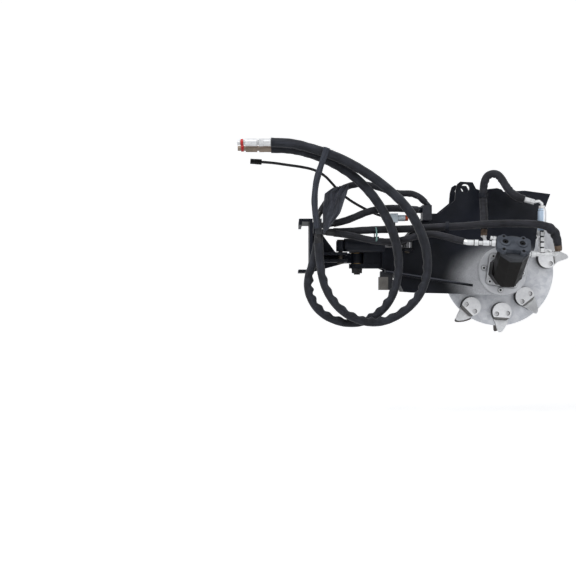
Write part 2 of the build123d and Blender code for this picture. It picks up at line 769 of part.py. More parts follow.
# Hose routes. Each is a list chosen by hand; the first point is where the hose leaves its fitting.
SUPPLY_A = [
    (32, -242, 4), (36, -242, -76), (50, -242, -160), (92, -242, -238), (164, -242, -296),
    (262, -242, -318), (360, -242, -280), (434, -242, -208), (466, -242, -116),
    (460, -242, -18), (430, -242, 66), (382, -242, 148), (302, -242, 224), (206, -242, 293),
    (102, -242, 348), (-6, -242, 382), (-84, -242, 402), (-156, -242, 402),
]
SUPPLY_B = [
    (30, -202, 4), (16, -202, -66), (-14, -202, -136), (-6, -202, -212), (44, -202, -280),
    (130, -202, -318), (222, -202, -312), (300, -202, -258), (341, -202, -184),
    (358, -202, -94), (347, -202, 4), (313, -202, 98), (258, -202, 190), (178, -202, 274),
    (82, -202, 334), (-8, -202, 368), (-84, -202, 385), (-156, -202, 385),
]
CASE_DRAIN = [
    (42, -160, 134), (62, -150, 172), (94, -138, 206), (136, -128, 236), (186, -124, 252),
    (242, -124, 250), (296, -124, 232), (340, -124, 217), (374, -122, 213), (408, -117, 215),
    (436, -111, 209), (459, -105, 197), (476, -99, 180),
]
UPPER = [
    (96, -160, 88), (136, -152, 96), (182, -143, 114), (230, -138, 136), (288, -136, 150),
    (348, -136, 152), (400, -124, 150), (442, -106, 148),
]
LONG = [
    (96, -160, 54), (150, -146, 55), (222, -137, 62), (300, -136, 65), (376, -140, 66),
    (440, -150, 68), (512, -164, 73), (596, -182, 74), (680, -202, 80), (766, -214, 84),
    (850, -217, 83), (911, -217, 80), (942, -215, 74), (969, -211, 57), (986, -205, 30),
    (992, -199, -2),
]
SHORT = [
    (96, -190, 46), (146, -178, 42), (204, -169, 29), (266, -166, 15), (330, -166, 12),
    (388, -167, 23), (438, -171, 39), (490, -183, 46), (540, -202, 33), (580, -224, 18),
    (608, -238, 10),
]
LOOP = [
    (862, -178, 184), (838, -176, 191), (814, -169, 208), (796, -158, 236), (781, -148, 268),
    (767, -141, 289), (747, -132, 295), (727, -124, 287), (716, -117, 265), (713, -112, 228),
    (712, -112, 184), (713, -124, 138), (709, -146, 93), (702, -172, 58),
]
CABLE = [
    (-196, -150, 338), (-150, -150, 335), (-92, -150, 326), (-34, -147, 319), (20, -140, 308),
    (62, -127, 286), (92, -112, 256), (122, -98, 224), (158, -94, 194), (200, -93, 168),
    (250, -95, 142), (290, -100, 124), (326, -107, 116),
]


def manifold_fittings():
    """Crimped hose ends on the junction block: two below, three in front, one above."""
    return group([
        ferrule(SUPPLY_A[0], SUPPLY_A[1], 36, 17),
        ferrule(SUPPLY_B[0], SUPPLY_B[1], 37, 17),
        ferrule(UPPER[0], UPPER[1], 54, 12),
        ferrule(LONG[0], LONG[1], 54, 13),
        ferrule(SHORT[0], SHORT[1], 54, 12),
        ferrule(CASE_DRAIN[0], CASE_DRAIN[1], 38, 11),
    ])


def coupler_parts(centre_y, centre_z):
    """Quick coupler on a supply hose: its body with the nose and dust ring, then its collar."""
    def at(x):
        return (x, centre_y, centre_z)

    body = bar(15, at(-156), at(-186)) + hex_bar(27, at(-186), at(-204))
    body += bar(10, at(-204), at(-290)) + bar(13.5, at(-266), at(-276))
    return body, pipe(15, 10.1, at(-212), at(-258))


def hose_bulkhead():
    """Block on the near plate where the two thin hoses pass through, with their hose ends."""
    body = block(462, 500, -124, -BOOM_HALF_W, 104, 166)
    body += ferrule(UPPER[-1], UPPER[-2], 26, 13, HOSE_GAP)
    return body + ferrule(CASE_DRAIN[-1], CASE_DRAIN[-2], 24, 11, HOSE_GAP)


def left_port_fitting():
    """Fittings from the short hose to the rear cover, with a branch for the loop, and an outlet."""
    mouth = Vector(*SHORT[-1])
    outward = (mouth - Vector(*SHORT[-2])).normalized()
    start = mouth + outward * 14
    end = cover_plane().from_local_coords(Vector(-COVER_W / 2, 0, COVER_T / 2))
    unit = (end - start).normalized()

    def at(d):
        return start + unit * d

    length = (end - start).length
    body = bar(11, mouth + outward * HOSE_GAP, start) + Pos(start) * Sphere(11)
    body += bar(11, start, at(24)) + bar(8, at(24), end)
    body += hex_bar(23, at(28), at(42)) + hex_bar(20, at(60), at(84))
    body += hex_bar(23, at(94), at(length - 2))
    branch = at(72)
    crimp = ferrule(LOOP[-1], LOOP[-2], 30, 13)
    loop_port = Vector(*LOOP[-1]) + (Vector(*LOOP[-1]) - Vector(*LOOP[-2])).normalized() * 28
    body += bar(7, branch, loop_port) + crimp
    corner = Vector(4 - COVER_W / 2, COVER_H / 2 - 14, COVER_T / 2)
    corner = cover_plane().from_local_coords(corner)
    outlet = bar(8, corner, corner + Vector(-26, 4, 8))
    outlet += hex_bar(19, corner + Vector(-6, 1, 2), corner + Vector(-16, 2, 5))
    return group([body, outlet])


COLUMN_X = 934
COLUMN_Y = -178
PORT_Z = -37


def right_port_fitting():
    """Adapter from the motor's right side, its elbow for the long hose, and a column of nuts."""
    def at(x, z=PORT_Z):
        return (x, COLUMN_Y, z)

    body = bar(9, at(847), at(985)) + hex_bar(24, at(858), at(876)) + hex_bar(22, at(890), at(908))
    crimp = ferrule(LONG[-1], LONG[-2], 22, 15, HOSE_GAP)
    long_port = Vector(*LONG[-1]) + (Vector(*LONG[-1]) - Vector(*LONG[-2])).normalized() * 20
    body += Pos(at(985)) * Sphere(10) + bar(9, at(985), long_port) + crimp
    body += bar(8, at(COLUMN_X), at(COLUMN_X, 58))
    for z in (-22, 0, 22, 44):
        body += hex_bar(24, at(COLUMN_X, z - 8), at(COLUMN_X, z + 8))
    return body


def check_valve():
    def at(z):
        return (COLUMN_X, COLUMN_Y, z)

    body = hex_bar(30, at(58), at(70)) + bar(17, at(70), at(136))
    return body + hex_bar(26, at(136), at(146))


def drain_elbow():
    """Bent steel pipe from the check valve to the loop hose, with its nut and crimp."""
    crimp_end = Vector(*LOOP[0]) + (Vector(*LOOP[0]) - Vector(*LOOP[1])).normalized() * 40
    points = [
        (COLUMN_X, COLUMN_Y, 146), (COLUMN_X, COLUMN_Y, 166), (COLUMN_X - 12, COLUMN_Y, 176),
        crimp_end,
    ]
    path = FilletPolyline(*points, radius=6)
    pipe_run = sweep(Plane(origin=path @ 0, z_dir=path % 0) * Circle(6), path=path)
    nut = hex_bar(22, (COLUMN_X, COLUMN_Y, 146), (COLUMN_X, COLUMN_Y, 157))
    return pipe_run + nut + ferrule(LOOP[0], LOOP[1], 42, 11)


def clamp(route, run, bore, half_length):
    """A clip ring round the middle of one straight run of a hose, on a post from the near plate."""
    a, b = Vector(*route[run]), Vector(*route[run + 1])
    middle = (a + b) / 2
    reach = (b - a).normalized() * half_length
    ring = bar(bore + 4, middle - reach, middle + reach)
    post = bar(6, middle, (middle.X, -BOOM_HALF_W, middle.Z))
    return ring + post - bar(bore, middle - reach * 1.4, middle + reach * 1.4)


def hose_clamps():
    """Clips that hold the loop hose and the long hose off the near plate."""
    loop = clamp(LOOP, 9, LOOP_D / 2, 9)
    return group([loop, clamp(LONG, 6, LONG_D / 2 + 1.2, 7)])


def solenoid_valve():
    """Diverter valve on a bracket over the boom, its coil lying along X, and the coil's cap."""
    body = block(330, 362, -122, -92, 96, 132) + bar(13, (362, -107, 114), (392, -107, 114))
    bracket = block(338, 352, -112, -102, 60, 96) + block(338, 440, -112, -102, 54, 62)
    bracket += block(428, 440, -102, -BOOM_HALF_W, 42, 62)
    return group([body + bracket, bar(12, (392, -107, 114), (404, -107, 114))])


def band(points, width, y0, y1):
    """A flat band along a line in X and Z, as wide as stated."""
    upper, lower = [], []
    for i, (x, z) in enumerate(points):
        xa, za = points[max(i - 1, 0)]
        xb, zb = points[min(i + 1, len(points) - 1)]
        a = atan2(zb - za, xb - xa)
        upper.append((x - sin(a) * width / 2, z + cos(a) * width / 2))
        lower.append((x + sin(a) * width / 2, z - cos(a) * width / 2))
    return side_plate(upper + lower[::-1], y0, y1)


def hose_strap():
    """Textile strap from the two supply hoses down to the junction block."""
    line = [(64, 378), (56, 352), (44, 318), (22, 250), (14, 180), (18, 110), (26, 60)]
    return band(line, 26, -269, -263)


def textile_sleeve():
    """Loose end of a woven protective sleeve, leaning back towards the case drain hose."""
    outline = [
        (49, 0), (76, 34), (118, 98), (146, 184), (160, 236), (100, 230), (58, 210), (49, 100),
    ]
    plane = Plane(origin=(0, -262, 33), x_dir=(1, 0, 0), z_dir=(0, -2, 1))
    return plane * extrude(make_face(Polyline(*outline, close=True)), amount=14)


save("hitch_plate", hitch_plate())
save("base_plates", base_plates())
save("base_webs", base_webs())
save("pivot_knuckle", pivot_knuckle())
save("pivot_bushes", pivot_bushes())
save("cylinder_base_pin", cylinder_base_pin())
save("hose_manifold", hose_manifold())
save("manifold_bracket", manifold_bracket())
save("manifold_fittings", manifold_fittings())
save("hose_strap", hose_strap())
save("textile_sleeve", textile_sleeve())

save("supply_hose_a", hose("supply_hose_a", SUPPLY_A, SUPPLY_D))
save("supply_hose_b", hose("supply_hose_b", SUPPLY_B, SUPPLY_D))
save("case_drain_hose", hose("case_drain_hose", CASE_DRAIN, DRAIN_D))
save("upper_hose", hose("upper_hose", UPPER, UPPER_D))
save("motor_hose_long", hose("motor_hose_long", LONG, LONG_D))
save("motor_hose_short", hose("motor_hose_short", SHORT, SHORT_D))
save("loop_hose", hose("loop_hose", LOOP, LOOP_D))
save("control_cable", hose("control_cable", CABLE, CABLE_D))

couplers = [coupler_parts(p[-1][1], p[-1][2]) for p in (SUPPLY_A, SUPPLY_B)]
save("coupler_bodies", group(c[0] for c in couplers))
save("coupler_collar_a", couplers[0][1])
save("coupler_collar_b", couplers[1][1])
save("cable_plug", ferrule(CABLE[0], CABLE[1], 46, 11))

save("swing_pin", swing_pin())
save("swing_pin_nut", swing_pin_nut())
save("clevis_plates", clevis_plates())
save("boom_end_plate", boom_end_plate())
save("boom_side_near", boom_side_near())
save("boom_side_far", boom_side_far())
save("boom_top_plate", boom_top_plate())
save("boom_bottom_plate", boom_bottom_plate())
save("boom_ledges", boom_ledges())
save("stand_foot", stand_foot())
save("guard_roof", guard_roof())
save("guard_cheek", guard_cheek())
save("rod_lugs", rod_lugs())
save("rod_pin", rod_pin())
save("hose_bulkhead", hose_bulkhead())
save("hose_clamps", hose_clamps())
save("solenoid_valve", solenoid_valve())

save("motor_mount_ring", motor_mount_ring())
save("motor_bolts", motor_bolts())
save("motor_front_housing", motor_front_housing())
save("motor_barrel_housing", motor_barrel_housing())
save("motor_rear_cover", motor_rear_cover())
save("port_plugs", port_plugs())
save("left_port_fitting", left_port_fitting())
save("right_port_fitting", right_port_fitting())
save("check_valve", check_valve())
save("drain_elbow", drain_elbow())
save("shaft_bearings", shaft_bearings())
save("bearing_housing", bearing_housing())

save("cutter_disc", cutter_disc())
save("drive_shaft", drive_shaft())
save("tooth_holders", tooth_holders())
save("teeth", teeth())
save("holder_screws", holder_screws())

save("cylinder_barrel", cylinder_barrel())
save("cylinder_gland", cylinder_gland())
save("cylinder_rod", cylinder_rod())
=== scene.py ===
from math import atan2, cos, pi, radians, sin, tan

import bmesh
import bpy
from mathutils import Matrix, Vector, noise


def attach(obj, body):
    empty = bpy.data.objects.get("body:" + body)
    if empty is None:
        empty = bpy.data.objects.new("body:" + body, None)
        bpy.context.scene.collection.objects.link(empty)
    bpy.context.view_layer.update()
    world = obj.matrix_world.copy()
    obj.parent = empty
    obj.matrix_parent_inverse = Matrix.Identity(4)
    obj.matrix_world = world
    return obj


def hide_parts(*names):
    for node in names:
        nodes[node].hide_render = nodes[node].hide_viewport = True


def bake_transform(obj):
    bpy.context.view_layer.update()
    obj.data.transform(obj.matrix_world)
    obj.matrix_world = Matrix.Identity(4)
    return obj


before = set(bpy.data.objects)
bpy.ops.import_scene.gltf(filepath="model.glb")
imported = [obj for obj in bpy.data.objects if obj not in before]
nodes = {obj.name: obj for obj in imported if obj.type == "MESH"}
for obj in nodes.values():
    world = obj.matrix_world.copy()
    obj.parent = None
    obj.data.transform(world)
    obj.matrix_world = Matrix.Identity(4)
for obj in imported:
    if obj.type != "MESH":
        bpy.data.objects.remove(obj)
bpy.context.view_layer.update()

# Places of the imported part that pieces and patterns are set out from, in metres. The ledges' fall is a
# slope, and the motor's bend is in radians.
WHEEL_X, WHEEL_Z = .802, -.102
BOOM_HALF_W = .068
MOUNT_RING_R = .101
LEDGE_START, LEDGE_END = .312, .671
LEDGE_Z = -.101
LEDGE_T = .010
LEDGE_FALL = tan(radians(9))
MOTOR_BEND = radians(38)

# ---- Camera -----------------------------------------------------------------------------------
# It stands level with the lower part of the hitch, 3.6 m out on the motor's side, and looks
# straight at the swing plane.
bpy.ops.object.camera_add(location=(-.089, -3.6, -.1737), rotation=(pi / 2, 0, 0))
camera = bpy.context.object
camera.data.angle = radians(37.46)
bpy.context.scene.camera = camera


# ---- Supply hoses -----------------------------------------------------------------------------
# Two hydraulic hoses in loose woven sleeves, from the junction block down, round in one wide hanging
# loop each and up to the quick couplers. The sleeves bunch up on the inside of every bend.
def fill(tree, socket, value):
    """Sets a shader socket to a value, or links another socket to it."""
    if isinstance(value, bpy.types.NodeSocket):
        tree.links.new(value, socket)
    else:
        socket.default_value = value


def add(tree, kind, inputs=(), **settings):
    """Adds a shader node with its settings, and fills its inputs by name or number."""
    node = tree.nodes.new("ShaderNode" + kind)
    for key, value in settings.items():
        setattr(node, key, value)
    for key, value in dict(inputs).items():
        fill(tree, node.inputs[key], value)
    return node


def maths(tree, operation, a, b=0.0):
    """One Math node's result."""
    return add(tree, "Math", {0: a, 1: b}, operation=operation).outputs[0]


def spread(tree, value, low, high, to_low=0.0, to_high=1.0):
    """A value stretched from one range to another and kept inside it."""
    inputs = {"Value": value, "From Min": low, "From Max": high, "To Min": to_low, "To Max": to_high}
    return add(tree, "MapRange", inputs).outputs["Result"]


def mixed(tree, amount, first, second):
    """Two colours mixed by an amount from 0 to 1."""
    node = add(tree, "Mix", data_type="RGBA", inputs={0: amount})
    fill(tree, node.inputs[6], first)
    fill(tree, node.inputs[7], second)
    return node.outputs[2]


def effect(name, inputs, outputs):
    """A new shader node group with number inputs and outputs of the kinds given."""
    tree = bpy.data.node_groups.new(name, "ShaderNodeTree")
    for key, value in inputs.items():
        tree.interface.new_socket(key, in_out="INPUT", socket_type="NodeSocketFloat").default_value = value
    for key, kind in outputs.items():
        tree.interface.new_socket(key, in_out="OUTPUT", socket_type="NodeSocket" + kind)
    return tree, tree.nodes.new("NodeGroupInput").outputs, tree.nodes.new("NodeGroupOutput").inputs


def use(tree, group, **inputs):
    """Places an effect in a material with its own values and returns its outputs."""
    node = tree.nodes.new("ShaderNodeGroup")
    node.node_tree = group
    for key, value in inputs.items():
        fill(tree, node.inputs[key.replace("_", " ")], value)
    return node.outputs


def surface(name, **fixed):
    """A material with one Principled shader whose fixed values are set on its own sockets."""
    material = bpy.data.materials.new(name)
    material.use_nodes = True
    tree = material.node_tree
    shader = next(n for n in tree.nodes if n.type == "BSDF_PRINCIPLED")
    for key, value in fixed.items():
        shader.inputs[key.replace("_", " ")].default_value = value
    return material, tree, shader.inputs


def raised(tree, sockets, height, distance, strength=1.0, rounding=0.0):
    """Sends a height to the shader's normal through a Bump node, over edges rounded by a radius."""
    bump = add(tree, "Bump", {"Height": height, "Distance": distance, "Strength": strength})
    if rounding:
        fill(tree, bump.inputs["Normal"], add(tree, "Bevel", {"Radius": rounding}, samples=6).outputs[0])
    fill(tree, sockets["Normal"], bump.outputs["Normal"])


def past(tree, value, limit, soft=.0006):
    """1 where a value is above the limit and 0 below it."""
    return spread(tree, value, limit - soft, limit + soft)


def both(tree, a, b):
    """1 where two masks are both 1."""
    return maths(tree, "MULTIPLY", a, b)


def over(tree, sockets, mask, colour, metallic=None):
    """Lays another colour over what already feeds the material's Base Color, where the mask is 1."""
    below = sockets["Base Color"].links[0].from_socket
    fill(tree, sockets["Base Color"], mixed(tree, mask, below, (*colour, 1)))
    if metallic is not None:
        before = sockets["Metallic"].default_value
        fill(tree, sockets["Metallic"], spread(tree, mask, 0, 1, before, metallic))


def parts_of_place(tree):
    """The X, Y and Z of the point being shaded, in the object's own frame."""
    return add(tree, "SeparateXYZ", {0: add(tree, "TexCoord").outputs["Object"]}).outputs


def grain(tree, vector, scale, detail=2.0, rough=0.5):
    """Soft noise from 0 to 1 on the coordinates given."""
    inputs = {"Vector": vector, "Scale": scale, "Detail": detail, "Roughness": rough}
    return add(tree, "TexNoise", inputs).outputs[0]


woven, give, take = effect("woven_yarn", {"Yarns": 500.0}, {"Height": "Float", "Tone": "Float"})
where = add(woven, "TexCoord").outputs["UV"]
steps = add(woven, "VectorMath", {0: where, "Scale": give["Yarns"]}, operation="SCALE").outputs[0]
axes = add(woven, "SeparateXYZ", {0: steps})
across = maths(woven, "SINE", axes.outputs[0])
along = maths(woven, "SINE", axes.outputs[1])
crossing = maths(woven, "MULTIPLY", across, along)
fill(woven, take["Height"], spread(woven, crossing, -1, 1))
patches = grain(woven, where, 18, 3)
fill(woven, take["Tone"], maths(woven, "ADD", maths(woven, "MULTIPLY", crossing, .12), patches))


def sleeve_cloth(name, dark, light, sheen=.25):
    """Woven nylon: two tones in patches, a fine crossing weave and long soft creases."""
    material, tree, sockets = surface(name, Roughness=.72, Sheen_Weight=sheen, Sheen_Roughness=.45,
                                      Specular_IOR_Level=.3)
    yarn = use(tree, woven, Yarns=1500)
    uv = add(tree, "TexCoord").outputs["UV"]
    stretched = add(tree, "Mapping", {"Vector": uv, "Scale": (55, 9, 1)}).outputs[0]
    creases = grain(tree, stretched, 1, 4, .6)
    tone = spread(tree, maths(tree, "ADD", yarn["Tone"], creases), .75, 1.3)
    fill(tree, sockets["Base Color"], mixed(tree, tone, (*dark, 1), (*light, 1)))
    height = maths(tree, "ADD", maths(tree, "MULTIPLY", yarn["Height"], .12), creases)
    raised(tree, sockets, height, .0022, .8)
    return material


def smooth_line(name, route):
    """The hose's smooth line: points along a NURBS curve that has the route as its control points."""
    curve = bpy.data.curves.new(name + "_line", "CURVE")
    curve.dimensions = "3D"
    curve.resolution_u = 24
    spline = curve.splines.new("NURBS")
    spline.points.add(len(route) - 1)
    for point, place in zip(spline.points, route):
        point.co = (*place, 1)
    spline.order_u = 3
    spline.use_endpoint_u = True
    guide = bpy.data.objects.new(name + "_line", curve)
    bpy.context.scene.collection.objects.link(guide)
    bpy.context.view_layer.update()
    mesh = bpy.data.meshes.new_from_object(guide)
    line = [v.co.copy() for v in mesh.vertices]
    bpy.data.objects.remove(guide)
    bpy.data.meshes.remove(mesh)
    return line


def stations(line, spacing):
    """Places at even steps along a line: point, direction, sideways vector and distance from the start."""
    marks = [0.0]
    for a, b in zip(line, line[1:]):
        marks.append(marks[-1] + (b - a).length)
    count = max(2, round(marks[-1] / spacing))
    found, k = [], 0
    for i in range(count + 1):
        s = marks[-1] * i / count
        while k < len(line) - 2 and marks[k + 1] < s:
            k += 1
        gap = marks[k + 1] - marks[k]
        found.append((line[k].lerp(line[k + 1], (s - marks[k]) / gap if gap else 0), s))
    out, side = [], None
    for i, (p, s) in enumerate(found):
        direction = (found[min(i + 1, count)][0] - found[max(i - 1, 0)][0]).normalized()
        side = side or direction.orthogonal().normalized()
        side = (side - direction * side.dot(direction)).normalized()
        out.append((p, direction, side, s))
    return out


def tube(name, places, radius_at, sides=28):
    """A closed tube with rings at the places given; radius_at(index, angle) shapes each ring."""
    bm = bmesh.new()
    uv_layer = bm.loops.layers.uv.new("sleeve")
    rings = []
    for i, (p, direction, side, s) in enumerate(places):
        other = direction.cross(side)
        ring = []
        for j in range(sides):
            a = 2 * pi * j / sides
            ring.append(bm.verts.new(p + (side * cos(a) + other * sin(a)) * radius_at(i, a)))
        rings.append(ring)
    girth = 2 * pi * radius_at(0, 0)
    for i in range(len(rings) - 1):
        for j in range(sides):
            n = (j + 1) % sides
            face = bm.faces.new((rings[i][j], rings[i][n], rings[i + 1][n], rings[i + 1][j]))
            face.smooth = True
            for loop, (u, v) in zip(face.loops, ((j, i), (j + 1, i), (j + 1, i + 1), (j, i + 1))):
                loop[uv_layer].uv = (u / sides * girth, places[v][3])
    bm.faces.new(rings[0][::-1])
    bm.faces.new(rings[-1])
    mesh = bpy.data.meshes.new(name)
    bm.to_mesh(mesh)
    bm.free()
    made = bpy.data.objects.new(name, mesh)
    bpy.context.scene.collection.objects.link(made)
    return made


def sleeved_hose(name, route, diameter, material, gather=.0022, pitch=.027, low=1.0, end_bulge=0.0):
    """A hose in its loose sleeve: it gathers inside the bends, more so in the parts that hang low, has
    slack ripples elsewhere, and may bag out before its far end."""
    line = smooth_line(name, route)
    places = stations(line, .004)
    last = len(places) - 1
    reach = 5
    bends = []
    for i in range(last + 1):
        a, b = max(i - reach, 0), min(i + reach, last)
        turn = places[b][1] - places[a][1]
        bends.append(turn / max(b - a, 1))

    def radius_at(i, angle):
        p, direction, side, s = places[i]
        out = side * cos(angle) + direction.cross(side) * sin(angle)
        inner = max(0, out.dot(bends[i].normalized())) if bends[i].length else 0
        tight = min(1, bends[i].length / .035)
        hangs = min(1, max(0, -p.z / .12))
        wander = noise.noise(p * 7) * (6.6 - 3.4 * hangs)
        waves = .5 + .5 * sin(2 * pi * s / pitch + wander + hangs * sin(angle))
        slack = noise.noise(Vector((s * 38, cos(angle) * 1.3, sin(angle) * 1.3 + len(name))))
        ease = min(1, i / 4, (last - i) / 4)
        folds = gather * (1 + (low - 1) * hangs) * inner * tight * waves
        near_end = max(0, 1 - (last - i) / 26)
        bag = end_bulge * sin(pi * near_end ** .7) * (.8 + .35 * sin(s * 210 + 2 * cos(angle)))
        thin = .03 + .17 * hangs * (low > 1)
        return diameter / 2 * (1 - thin * ease) + ease * (folds + bag + .0009 * slack)

    made = tube(name, places, radius_at)
    made.data.materials.append(material)
    return made, [p for p, direction, side, s in places]


sleeve_black = sleeve_cloth("sleeve_black", (.0065, .0065, .0085), (.026, .027, .036))
sleeve_slate = sleeve_cloth("sleeve_slate", (.0055, .0062, .0090), (.027, .030, .041))

SUPPLY_A = [
    (.032, -.242, .004), (.036, -.242, -.076), (.050, -.242, -.160), (.092, -.242, -.238),
    (.164, -.242, -.296), (.262, -.242, -.318), (.360, -.242, -.280), (.434, -.242, -.208),
    (.466, -.242, -.116), (.460, -.242, -.018), (.430, -.242, .066), (.382, -.242, .148),
    (.302, -.242, .224), (.206, -.242, .293), (.102, -.242, .348), (-.006, -.242, .382),
    (-.084, -.242, .402), (-.156, -.242, .402),
]
SUPPLY_B = [
    (.030, -.202, .004), (.016, -.202, -.066), (-.014, -.202, -.136), (-.006, -.202, -.212),
    (.044, -.202, -.280), (.130, -.202, -.318), (.222, -.202, -.312), (.300, -.202, -.258),
    (.341, -.202, -.184), (.358, -.202, -.094), (.347, -.202, .004), (.313, -.202, .098),
    (.258, -.202, .190), (.178, -.202, .274), (.082, -.202, .334), (-.008, -.202, .368),
    (-.084, -.202, .385), (-.156, -.202, .385),
]
loops = [("supply_hose_a", SUPPLY_A, 1.635), ("supply_hose_b", SUPPLY_B, 1.533)]
for letter, (node, route, length) in zip("ab", loops):
    piece, line = sleeved_hose(node + "_sleeve", route, .038, sleeve_slate,
                               gather=.0034, pitch=.045, low=3.2)
    collar = nodes["coupler_collar_" + letter]
    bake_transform(piece)
    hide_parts(node)
    ends = [nodes["coupler_bodies"], collar] if letter == "a" else [collar]


# ---- Boom hoses -------------------------------------------------------------------------------
# The thinner hoses that cross the swing pivot in their sleeves: case drain and upper hose to the
# bulkhead block, long and short hoses to the motor. Each is crimped at both ends.
CASE_DRAIN = [
    (.042, -.160, .134), (.062, -.150, .172), (.094, -.138, .206), (.136, -.128, .236),
    (.186, -.124, .252), (.242, -.124, .250), (.296, -.124, .232), (.340, -.124, .217),
    (.374, -.122, .213), (.408, -.117, .215), (.436, -.111, .209), (.459, -.105, .197),
    (.476, -.099, .180),
]
UPPER = [
    (.096, -.160, .088), (.136, -.152, .096), (.182, -.143, .114), (.230, -.138, .136),
    (.288, -.136, .150), (.348, -.136, .152), (.400, -.124, .150), (.442, -.106, .148),
]
LONG = [
    (.096, -.160, .054), (.150, -.146, .055), (.222, -.137, .062), (.300, -.136, .065),
    (.376, -.140, .066), (.440, -.150, .068), (.512, -.164, .073), (.596, -.182, .074),
    (.680, -.202, .080), (.766, -.214, .084), (.850, -.217, .083), (.911, -.217, .080),
    (.942, -.215, .074), (.969, -.211, .057), (.986, -.205, .030), (.992, -.199, -.002),
]
SHORT = [
    (.096, -.190, .046), (.146, -.178, .042), (.204, -.169, .029), (.266, -.166, .015),
    (.330, -.166, .012), (.388, -.167, .023), (.438, -.171, .039), (.490, -.183, .046),
    (.540, -.202, .033), (.580, -.224, .018), (.608, -.238, .010),
]
crossing_hoses = [
    ("case_drain_hose", CASE_DRAIN, .026, .504), ("upper_hose", UPPER, .030, .363),
    ("motor_hose_long", LONG, .031, .953), ("motor_hose_short", SHORT, .028, .539),
]
for node, route, diameter, length in crossing_hoses:
    bulge = .0042 if node == "motor_hose_long" else 0
    piece, line = sleeved_hose(node + "_sleeve", route, diameter, sleeve_black, .0015, end_bulge=bulge)
    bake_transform(piece)
    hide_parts(node)

# ---- Loop hose --------------------------------------------------------------------------------
# A short hose on the boom alone: from the bent pipe over the check valve, up over the guard and down
# to the branch at the motor's left port, folded sharply at its top.
LOOP = [
    (.862, -.178, .184), (.838, -.176, .191), (.814, -.169, .208), (.796, -.158, .236),
    (.781, -.148, .268), (.767, -.141, .289), (.747, -.132, .295), (.727, -.124, .287),
    (.716, -.117, .265), (.713, -.112, .228), (.712, -.112, .184), (.713, -.124, .138),
    (.709, -.146, .093), (.702, -.172, .058),
]
piece, line = sleeved_hose("loop_hose_sleeve", LOOP, .032, sleeve_black, gather=.0026, pitch=.021)
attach(piece, "boom")
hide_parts("loop_hose")

# ---- Control cable ----------------------------------------------------------------------------
# Thin black two-core cable from its plug by the couplers, in one slack sweep down to the valve's coil.
CABLE = [
    (-.196, -.150, .338), (-.150, -.150, .335), (-.092, -.150, .326), (-.034, -.147, .319),
    (.020, -.140, .308), (.062, -.127, .286), (.092, -.112, .256), (.122, -.098, .224),
    (.158, -.094, .194), (.200, -.093, .168), (.250, -.095, .142), (.290, -.100, .124),
    (.326, -.107, .116),
]
cable_rubber, tree, sockets = surface("cable_rubber", Roughness=.45, Specular_IOR_Level=.4)
spots = grain(tree, add(tree, "TexCoord").outputs["Object"], 60, 4)
fill(tree, sockets["Base Color"], mixed(tree, spots, (.004, .004, .005, 1), (.013, .013, .015, 1)))
raised(tree, sockets, spots, .0004)
line = smooth_line("control_cable", CABLE)
places = stations(line, .004)
cable = tube("control_cable_sheath", places, lambda i, angle: .0055, sides=14)
cable.data.materials.append(cable_rubber)
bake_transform(cable)
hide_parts("control_cable")


# ---- Painted steelwork ------------------------------------------------------------------------
# Hitch plate, fixed arm, clevis, boom box, guard plates and ledges: laser-cut plate, welded and
# sprayed semi-gloss near-black, with dust on top and the paint rubbed thin on its edges.
rubbed, give, take = effect("rubbed_edges", {"Width": .002, "Amount": 1.0}, {"Mask": "Float"})
rounded = add(rubbed, "Bevel", {"Radius": give["Width"]}, samples=4).outputs[0]
true_normal = add(rubbed, "NewGeometry").outputs["Normal"]
agreement = add(rubbed, "VectorMath", {0: rounded, 1: true_normal}, operation="DOT_PRODUCT")
corner = spread(rubbed, agreement.outputs["Value"], .97, .80)
place = add(rubbed, "TexCoord").outputs["Object"]
broken = spread(rubbed, grain(rubbed, place, 70, 5, .65), .42, .62)
fill(rubbed, take["Mask"], both(rubbed, both(rubbed, corner, broken), give["Amount"]))

# Painted shade: an ambient occlusion mask that darkens hollows and the places where parts meet.
hollow_shading, give, take = effect("painted_hollow_shade", {"Reach": .006, "Amount": 1.0}, {"Mask": "Float"})
shelter = add(hollow_shading, "AmbientOcclusion", {"Distance": give["Reach"]}, samples=10).outputs["AO"]
fill(hollow_shading, take["Mask"], maths(hollow_shading, "MULTIPLY", spread(hollow_shading, shelter, .88, .5), give["Amount"]))

dusty, give, take = effect("dust_film", {"Amount": .5}, {"Mask": "Float"})
place = add(dusty, "TexCoord").outputs["Object"]
facing = add(dusty, "SeparateXYZ", {0: add(dusty, "NewGeometry").outputs["Normal"]}).outputs[2]
upward = spread(dusty, facing, -.1, 1, .25, 1)
cloud = spread(dusty, grain(dusty, place, 9, 6, .62), .40, .78)
specks = spread(dusty, grain(dusty, place, 260, 2), .66, .74)
film = maths(dusty, "ADD", maths(dusty, "MULTIPLY", cloud, .6), maths(dusty, "MULTIPLY", specks, .35))
film = maths(dusty, "MULTIPLY", maths(dusty, "MULTIPLY", film, upward), give["Amount"])
fill(dusty, take["Mask"], film)

PAINT_DEEP = (.0045, .0055, .0085, 1)
PAINT_BLUE = (.0095, .0120, .021, 1)
DUST = (.085, .085, .086, 1)
PRIMER = (.075, .072, .070, 1)


